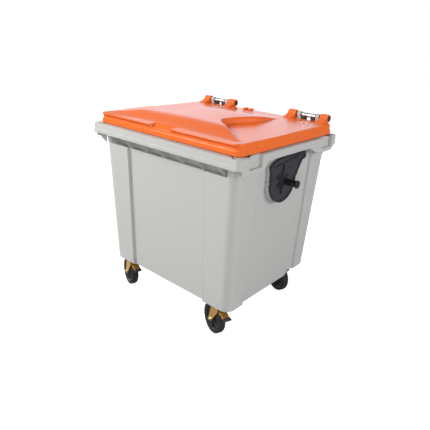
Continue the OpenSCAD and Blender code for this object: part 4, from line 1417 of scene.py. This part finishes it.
@dataclass
class Trunnion:
    """Black end plate with its lifting pin, on one side."""

    side: str
    sign: float
    y: float = -47
    z: float = 987
    face_x: float = 590
    thick: float = 20
    dish: float = 12
    boss_r: float = 36
    foot_r: float = 134
    pin_r: float = 20
    flange_r: float = 25
    tip_x: float = 685

    def outline(self) -> list[Pair]:
        """Draws the plate's outline round the trunnion axis.

        Returns:
            The corner points, counter-clockwise.
        """
        r = self.foot_r
        arc = [(r * math.cos(a), r * math.sin(a)) for a in [math.radians(185 + 10 * k) for k in range(18)]]
        head = rounded([
            (141, 8, 10), (163, 50, 20), (196, 97, 12), (235, 106, 8), (232, 147, 6), (-18, 147, 40),
            (-69, 140, 30), (-112, 128, 22), (-146, 105, 10), (-131, 64, 20), (-133, 6, 10),
        ], 4)
        return counter_clockwise(arc + head)

    def build(self) -> None:
        """Makes the plate, its pad and the pin."""
        place = along_x(self.sign, self.y, self.z)
        flat = self.outline()
        back, face = self.face_x - self.thick, self.face_x
        skin = face - self.dish
        levels = [(1.5, back), (0, back + 2), (0, face - 2.4), (0.7, face - 0.7), (2.4, face), (7, face)]
        levels += [(8.6, face - 0.8), (9.4, face - 2.6), (10.6, skin + 2.5), (12.4, skin + 0.4), (15, skin)]
        shell = Shell()
        shell.loft([[place(u, v, w) for u, v in inset(flat, d)] for d, w in levels])
        self.stiffeners(shell, place)
        shell.piece(f"{self.side}_end_plate", Finish.BLACK, "tub", [f"{self.side}_trunnion_plate"])
        pad = Shell()
        pad.prism(inset(flat, 6), 520, back + 0.5, 1, place)
        pad.piece(f"{self.side}_plate_pad", Finish.TUB, "tub")
        pin = Shell()
        pin.lathe(self.pin_profile(), place, 64, closed=False)
        pin.piece(f"{self.side}_lifting_pin", Finish.PIN, "tub", [f"{self.side}_trunnion_pin"])

    def stiffeners(self, shell: Shell, place: Placing) -> None:
        """Adds the boss and the upright rib, which is wider at its foot.

        Args:
            shell: The mesh that receives them.
            place: Turns the drawing into places on the bin.
        """
        skin, face = self.face_x - self.dish - 0.5, self.face_x
        bore, r = self.pin_r + 0.2, self.boss_r
        boss = [(skin - 4, bore), (skin - 4, r), (face - 1, r), (face + 1.2, r - 1), (face + 2, r - 3)]
        boss.append((face + 2, bore))
        shell.lathe(boss, place, 64)
        upright = rounded([(-12, -80, 4), (14, -80, 4), (5, 100, 4), (-5, 100, 4)], 3)
        shell.prism(upright, skin - 2, face + 2, 2.5, place)

    def pin_profile(self) -> list[Pair]:
        """Draws the section of the pin.

        Returns:
            Points (x, radius) from inside the plate to the tip.
        """
        r, collar, tip, face = self.pin_r, self.pin_r + 8, self.tip_x, self.face_x
        points = [(face - 12, r), (face + 2, r), (face + 2, collar - 1.5), (face + 3.5, collar)]
        points += [(face + 8.5, collar), (face + 10, collar - 1.5), (face + 10, r + 1), (face + 12, r)]
        for k in range(4):
            x = face + 22 + 15 * k
            points += [(x, r), (x + 0.6, r - 0.7), (x + 3, r - 0.7), (x + 3.6, r)]
        flange = self.flange_r
        points += [(tip - 12, r), (tip - 10, r + 1.5), (tip - 10, flange - 1.2), (tip - 8.8, flange)]
        points += [(tip - 1.6, flange), (tip, flange - 1.6), (tip, 12), (tip - 3, 10)]
        return points


# ---- castors ---------------------------------------------------------------


@dataclass
class Castor:
    """One swivel castor, resting turned by its heading."""

    corner: str
    axis_x: float
    axis_y: float
    braked: bool
    heading: float = -20
    trail: float = 43
    axle_z: float = 100
    wheel_r: float = 100
    tyre_half: float = 25
    hub_r: float = 76
    leg_in: float = 29.5
    leg_t: float = 4
    crown_top: float = 211.7
    plate_top: float = 238
    plate_t: float = 5
    plate_len: float = 135
    plate_wid: float = 100
    race_r: float = 44
    race_bore: float = 8
    race_deep: float = 11
    pivot: Pair = (17, 190)

    def square(self, u: float, v: float, w: float) -> Triple:
        """Places a point given square to the tub, from the swivel axis."""
        return (self.axis_x + u, self.axis_y + v, w)

    def turned(self, u: float, v: float, w: float) -> Triple:
        """Places a point given in the fork.

        Args:
            u: How far along the fork.
            v: How far across it.
            w: The height.

        Returns:
            The place on the bin.
        """
        a = math.radians(self.heading)
        x = u * math.cos(a) - v * math.sin(a)
        y = u * math.sin(a) + v * math.cos(a)
        return (self.axis_x + x, self.axis_y + y, w)

    def on_axle(self, u: float, v: float, w: float) -> Triple:
        """Places a point given round the axle: u ahead, v up and w across."""
        return self.turned(-self.trail + u, w, self.axle_z + v)

    def sideways(self, u: float, v: float, w: float) -> Triple:
        """Places a point of a side view: u ahead, v up and w across."""
        return self.turned(u, w, v)

    def build(self) -> None:
        """Makes the castor's plate, fork, hub and tyre, and the brake where there is one."""
        self.top_plate()
        self.fork()
        self.wheel()
        if self.braked:
            self.brake()

    def top_plate(self) -> None:
        """Makes the plate under the tub, with the pressed ring of its ball race."""
        shell = Shell()
        w, d, z = self.plate_len / 2, self.plate_wid / 2, self.plate_top
        flat = rounded([(-w, -d, 9), (w, -d, 9), (w, d, 9), (-w, d, 9)], 5)
        shell.prism(flat, z - self.plate_t, z, 1, self.square)
        low, high = z - self.plate_t - self.race_deep, z - self.plate_t + 1
        bore, r = self.race_bore, self.race_r
        ring = [(low, bore), (low, r - 6), (low + 0.6, r - 3), (low + 3, r - 0.6), (low + 6, r)]
        shell.lathe([*ring, (high, r), (high, bore)], self.square, 56)
        shell.piece(f"{self.corner}_top_plate", Finish.GOLD, "tub", [f"{self.corner}_castor_plate"])

    def leg_span(self, z: float) -> Pair:
        """Finds where a leg starts and ends along the fork.

        Args:
            z: The height.

        Returns:
            The rear end and the front end.
        """
        foot, r = self.axle_z, 17
        rear_line = ((foot, -self.trail - r), (200, -38), (212, -38))
        front_line = ((foot - 5, -self.trail + r - 1), (166, 24), (184, 40), (212, 38))
        rear, front = along_table(rear_line, z), along_table(front_line, z)
        if z < foot:
            reach = math.sqrt(max(0.0, r * r - (foot - z) ** 2))
            return (-self.trail - reach, -self.trail + reach)
        return (rear, front)

    def fork(self) -> None:
        """Makes the pressed fork: a crown that bends down into two legs."""
        shell = Shell()
        bend, top, side = 7.0, self.crown_top, self.leg_in + self.leg_t
        foot = self.axle_z - 17
        arc = [math.radians(15 * k) for k in range(1, 6)]
        heights = [foot, foot + 1, foot + 4, foot + 9, foot + 17]
        heights += [112, 130, 148, 160, 170, 178, 186, 194, 200, top - bend]
        section = [(-side, z) for z in heights]
        section += [(-side + bend * (1 - math.cos(a)), top - bend * (1 - math.sin(a))) for a in arc]
        section += [(-side + bend, top), (-14, top), (0, top), (14, top)]
        section += [(-y, z) for y, z in reversed(section[:-3])]
        columns = 14
        outer, inner = [], []
        for i, (y, z) in enumerate(section):
            before, after = Vector(section[max(0, i - 1)]), Vector(section[min(len(section) - 1, i + 1)])
            run = (after - before).normalized()
            ny, nz = -run.y, run.x
            rear, front = self.leg_span(z)
            spots = [mix(rear, front, k / columns) for k in range(columns + 1)]
            outer.append([self.turned(x, y, z) for x in spots])
            inner.append([self.turned(x, y - ny * self.leg_t, z - nz * self.leg_t) for x in spots])
        over = [shell.ring(row) for row in outer]
        under = [shell.ring(row) for row in inner]
        for a, b in zip(over, over[1:]):
            shell.band(a, b, closed=False)
        for a, b in zip(under, under[1:]):
            shell.band(b, a, closed=False)
        shell.band(Lid.border(over), Lid.border(under))
        crown = [(top - 7, 9), (top - 7, 37), (top, 39), (top + 0.2, 38.4), (top + 0.2, 9)]
        shell.lathe(crown, self.turned, 56)
        body = f"{self.corner}_fork"
        shell.piece(f"{self.corner}_pressed_fork", Finish.GOLD, body, [body], 40)

    def wheel(self) -> None:
        """Makes the hub with its spokes, and the tyre."""
        body = f"{self.corner}_wheel"
        r, h, rim = self.hub_r, self.tyre_half, self.tyre_half - 3
        hub = Shell()
        boss = self.leg_in - 0.3
        half = [(boss, 10.05), (boss, 19.5), (boss - 1.5, 21.5), (boss - 4, 22.5), (6, 24), (3.5, 28)]
        half += [(3, 33), (3, r - 14), (4.5, r - 10), (rim - 3, r - 8), (rim - 0.8, r - 7.4)]
        half += [(rim, r - 6), (rim, r - 0.5)]
        hub.lathe(half + [(-a, b) for a, b in reversed(half)], self.on_axle, 72)
        for k in range(6):
            a = math.radians(60 * k + 30)
            c, s = math.cos(a), math.sin(a)

            def spoke(u: float, v: float, w: float, c: float = c, s: float = s) -> Triple:
                """Places a spoke's point: u outward, v across it and w along the axle."""
                return self.on_axle(u * c - v * s, u * s + v * c, w)

            flat = [(18, -3.4), (r - 7, -2.6), (r - 7, 2.6), (18, 3.4)]
            hub.prism(flat, -rim + 4, rim - 4, 1.4, spoke)
        hub.piece(f"{self.corner}_hub", Finish.BLACK, body, [f"{self.corner}_wheel_hub"])
        tyre = Shell()
        w = self.wheel_r
        half = [(h - 3.4, r), (h - 1, r + 1.6), (h, r + 4), (h, r + 8), (h - 0.7, r + 9)]
        half += [(h - 0.7, r + 11), (h, r + 12), (h, w - 9.5), (h - 1.4, w - 5.6), (h - 4.4, w - 2.6)]
        half += [(h - 9, w - 0.7), (h - 15, w), (0.8, w)]
        tyre.lathe(half + [(-a, b) for a, b in reversed(half)], self.on_axle, 112)
        tyre.piece(f"{self.corner}_solid_tyre", Finish.TYRE, body, [f"{self.corner}_tyre"])

    def brake(self) -> None:
        """Makes the brake pedal and its black grip."""
        body = f"{self.corner}_brake"
        px, pz = self.pivot
        tip_x, tip_z, half = 96, pz - 20, 22
        pedal = Shell()
        tread = rounded([
            (px, pz + 5, 0), (px + 40, pz + 3, 14), (tip_x, tip_z + 5, 0), (tip_x, tip_z, 0),
            (px + 38, pz - 3, 14), (px, pz - 2, 0),
        ], 5)
        pedal.prism(tread, -half, half, 1.2, self.sideways)
        cheek = rounded([
            (px - 6, pz - 6, 4), (px - 4, pz + 6, 4), (px + 40, pz + 3, 10), (tip_x - 6, tip_z + 4, 3),
            (tip_x - 10, tip_z - 5, 5), (px + 42, pz - 14, 8), (px + 22, pz - 18, 6),
        ], 4)
        for y in (-half, half - 3):
            pedal.prism(cheek, y, y + 3, 0.8, self.sideways)
        barrel = [(-half, 4), (-half, 7.4), (-half + 0.6, 8), (half - 0.6, 8), (half, 7.4), (half, 4)]
        pedal.lathe(barrel, lambda u, v, w: self.sideways(px + u, pz + v, w), 36, closed=False)
        reach = self.leg_in + self.leg_t + 1
        pin = [(-reach, 3), (-reach + 0.8, 4), (reach - 0.8, 4), (reach, 3)]
        pedal.lathe(pin, lambda u, v, w: self.sideways(px + u, pz + v, w), 32, closed=False)
        pedal.piece(f"{self.corner}_pedal", Finish.GOLD, body, [f"{self.corner}_brake_pedal"])
        grip, grip_len = Shell(), 22
        flat = rounded([
            (tip_x, tip_z - 3, 2), (tip_x, tip_z + 9, 3), (tip_x + grip_len, tip_z + 4, 4),
            (tip_x + grip_len, tip_z - 6, 4),
        ], 4)
        grip.prism(flat, -half - 2, half + 2, 2.2, self.sideways)
        for k in range(4):
            x = tip_x + 4 + 4.4 * k
            z = tip_z + 9 - 5 * (x - tip_x) / grip_len
            bar = rounded([
                (x - 1.2, z - 2, 0), (x + 1.2, z - 2, 0), (x + 1, z + 1, 0.6), (x - 1, z + 1, 0.6),
            ], 2)
            grip.prism(bar, -half + 1, half - 1, 0.5, self.sideways)
        grip.piece(f"{self.corner}_pedal_grip", Finish.BLACK, body, [f"{self.corner}_pedal_tip"])


# ---- carried over ----------------------------------------------------------


@dataclass(frozen=True)
class CarriedOver:
    """Finishes for the frame's own nodes that stay in sight."""

    finishes: tuple[tuple[str, Finish], ...] = (
        ("trunnion_bolts", Finish.BLACK_STEEL), ("bolts", Finish.STEEL), ("kingpin", Finish.STEEL),
        ("ball_race", Finish.STEEL),
        ("axle", Finish.STEEL), ("sleeve", Finish.STEEL), ("brake_pad", Finish.RUBBER),
        ("drain_plug", Finish.BLACK), ("drain_seal", Finish.RUBBER), ("lid_buffers", Finish.RUBBER),
        ("hinge_tube", Finish.STEEL), ("hinge_bushes", Finish.BLACK), ("hinge_caps", Finish.BLACK),
        ("trunnion_plate", Finish.BLACK), ("trunnion_pin", Finish.BLACK), ("castor_plate", Finish.GOLD),
        ("fork", Finish.GOLD), ("brake_pedal", Finish.GOLD), ("pedal_tip", Finish.BLACK),
        ("wheel_hub", Finish.BLACK), ("tyre", Finish.TYRE), ("tub_shell", Finish.TUB),
        ("lid_shell", Finish.LID),
    )

    def build(self) -> None:
        """Dresses every node of the frame."""
        for name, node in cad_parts.items():
            finish = next(f for key, f in self.finishes if key in name)
            node.data.materials.clear()
            node.data.materials.append(finish.material())
            node.data.shade_smooth()
            node.data.set_sharp_from_angle(angle=math.radians(35))
            log.info("%s: dressed as %s", name, finish.name)


# ---- studio ----------------------------------------------------------------


@dataclass(frozen=True)
class Lamp:
    """One square soft light that faces the container, in metres and watts."""

    name: str
    place: Triple
    size: float
    power: float
    tint: Triple = (1.0, 1.0, 1.0)
    aim: Triple = (0, 0, 0.7)

    def hang(self) -> None:
        """Hangs the light, which the camera itself doesn't see."""
        lamp = bpy.data.lights.new(self.name, "AREA")
        lamp.size = self.size
        lamp.energy = self.power
        lamp.color = self.tint
        hung = bpy.data.objects.new(self.name, lamp)
        hung.location = self.place
        aim = Vector(self.aim) - Vector(self.place)
        hung.rotation_euler = aim.to_track_quat("-Z", "Y").to_euler()
        hung.visible_camera = False
        bpy.context.scene.collection.objects.link(hung)


@dataclass
class Studio:
    """Pale floor, soft lights and the camera."""

    eye: Triple = (1.928, -2.275, 1.793)
    yaw: float = 0.700
    pitch: float = -0.288
    roll: float = 0.053
    lens: float = 38.0
    shift_y: float = -0.105
    horizon: float = 0.5
    zenith: float = 0.28
    floor_reach: float = 60.0
    floor_glow: float = 0.86
    lamps: tuple[Lamp, ...] = (
        Lamp("key", (-2.6, -3.1, 3.6), 0.7, 178, (1.0, 1.0, 0.99)),
        Lamp("side", (4.4, 0.9, 2.2), 1.4, 70, (0.98, 0.98, 1.0)),
        Lamp("backdrop", (-3.6, 4.6, 1.9), 4.2, 62, (0.74, 0.84, 1.0)),
        Lamp("edge", (-4.4, 0.0, 1.1), 1.0, 150),
        Lamp("corner", (2.5, -3.3, 1.5), 0.5, 34),
    )

    def build(self) -> None:
        """Sets the whole stage."""
        bpy.context.scene.view_settings.view_transform = "Standard"
        self.floor()
        for lamp in self.lamps:
            lamp.hang()
        self.world()
        self.camera()

    def floor(self) -> None:
        """Lays a pale floor."""
        mesh = bpy.data.meshes.new("floor")
        r = self.floor_reach
        mesh.from_pydata([(-r, -r, 0), (r, -r, 0), (r, r, 0), (-r, r, 0)], [], [(0, 1, 2, 3)])
        plane = bpy.data.objects.new("floor", mesh)
        bpy.context.scene.collection.objects.link(plane)
        g = Graph("floor_paper")
        patches = g.ramp(g.noise(1.4, 2.0), (0.3, 0.0), (0.7, 1.0))
        tint = g.blend(patches, (0.5, 0.5, 0.5), (0.49, 0.49, 0.49))
        g.link(tint, g.shader.inputs["Base Color"])
        g.shader.inputs["Roughness"].default_value = 0.9
        g.shader.inputs["Specular IOR Level"].default_value = 0.0
        ray = g.add("ShaderNodeLightPath")
        g.shader.inputs["Emission Color"].default_value = (1, 1, 1, 1)
        glow = g.ramp(ray.outputs["Is Camera Ray"], (0, 0.0), (1, self.floor_glow))
        g.link(glow, g.shader.inputs["Emission Strength"])
        mesh.materials.append(g.material)

    def world(self) -> None:
        """Fills the room with even white light."""
        world = bpy.data.worlds.new("room")
        world.use_nodes = True
        tree = world.node_tree
        back = next(n for n in tree.nodes if n.type == "BACKGROUND")
        back.inputs["Strength"].default_value = 1.0
        where = tree.nodes.new("ShaderNodeTexCoord")
        parts = tree.nodes.new("ShaderNodeSeparateXYZ")
        rise = tree.nodes.new("ShaderNodeMapRange")
        rise.inputs["From Min"].default_value = -0.1
        rise.inputs["From Max"].default_value = 0.9
        rise.inputs["To Min"].default_value = self.horizon
        rise.inputs["To Max"].default_value = self.zenith
        tree.links.new(where.outputs["Generated"], parts.inputs[0])
        tree.links.new(parts.outputs["Z"], rise.inputs["Value"])
        tree.links.new(rise.outputs["Result"], back.inputs["Color"])
        seen = tree.nodes.new("ShaderNodeBackground")
        either = tree.nodes.new("ShaderNodeMixShader")
        ray = tree.nodes.new("ShaderNodeLightPath")
        out = next(n for n in tree.nodes if n.type == "OUTPUT_WORLD")
        tree.links.new(ray.outputs["Is Camera Ray"], either.inputs[0])
        tree.links.new(back.outputs[0], either.inputs[1])
        tree.links.new(seen.outputs[0], either.inputs[2])
        tree.links.new(either.outputs[0], out.inputs["Surface"])
        seen.inputs["Color"].default_value = (1, 1, 1, 1)
        bpy.context.scene.world = world

    def camera(self) -> None:
        """Stands the camera."""
        lens = bpy.data.cameras.new("camera")
        lens.lens = self.lens
        lens.sensor_width = 36
        lens.shift_y = self.shift_y
        lens.clip_end = 100
        stand = bpy.data.objects.new("camera", lens)
        sy, cy, sp, cp = math.sin(self.yaw), math.cos(self.yaw), math.sin(self.pitch), math.cos(self.pitch)
        look = Vector((-sy * cp, cy * cp, sp))
        right = Vector((cy, sy, 0))
        up = right.cross(look)
        tilted = math.cos(self.roll) * right + math.sin(self.roll) * up
        upright = -math.sin(self.roll) * right + math.cos(self.roll) * up
        turn = Matrix((tilted, upright, -look)).transposed().to_4x4()
        stand.matrix_world = Matrix.Translation(self.eye) @ turn
        bpy.context.scene.collection.objects.link(stand)
        bpy.context.scene.camera = stand


CORNERS = (
    ("front_left", -410.0, -368.0, True),
    ("front_right", 410.0, -368.0, True),
    ("rear_left", -410.0, 350.0, False),
    ("rear_right", 410.0, 350.0, False),
)


def main() -> None:
    """Builds every piece in order."""
    logging.basicConfig(level=logging.INFO, format="%(name)s: %(message)s", stream=sys.stdout)
    Studio().build()
    CarriedOver().build()
    Tub().build()
    HingeLine().build()
    Lid().build()
    for side, sign in (("left", -1.0), ("right", 1.0)):
        Trunnion(side, sign).build()
    for corner, x, y, braked in CORNERS:
        Castor(corner, x, y, braked).build()
    bpy.context.view_layer.update()


if __name__ == "__main__":
    main()
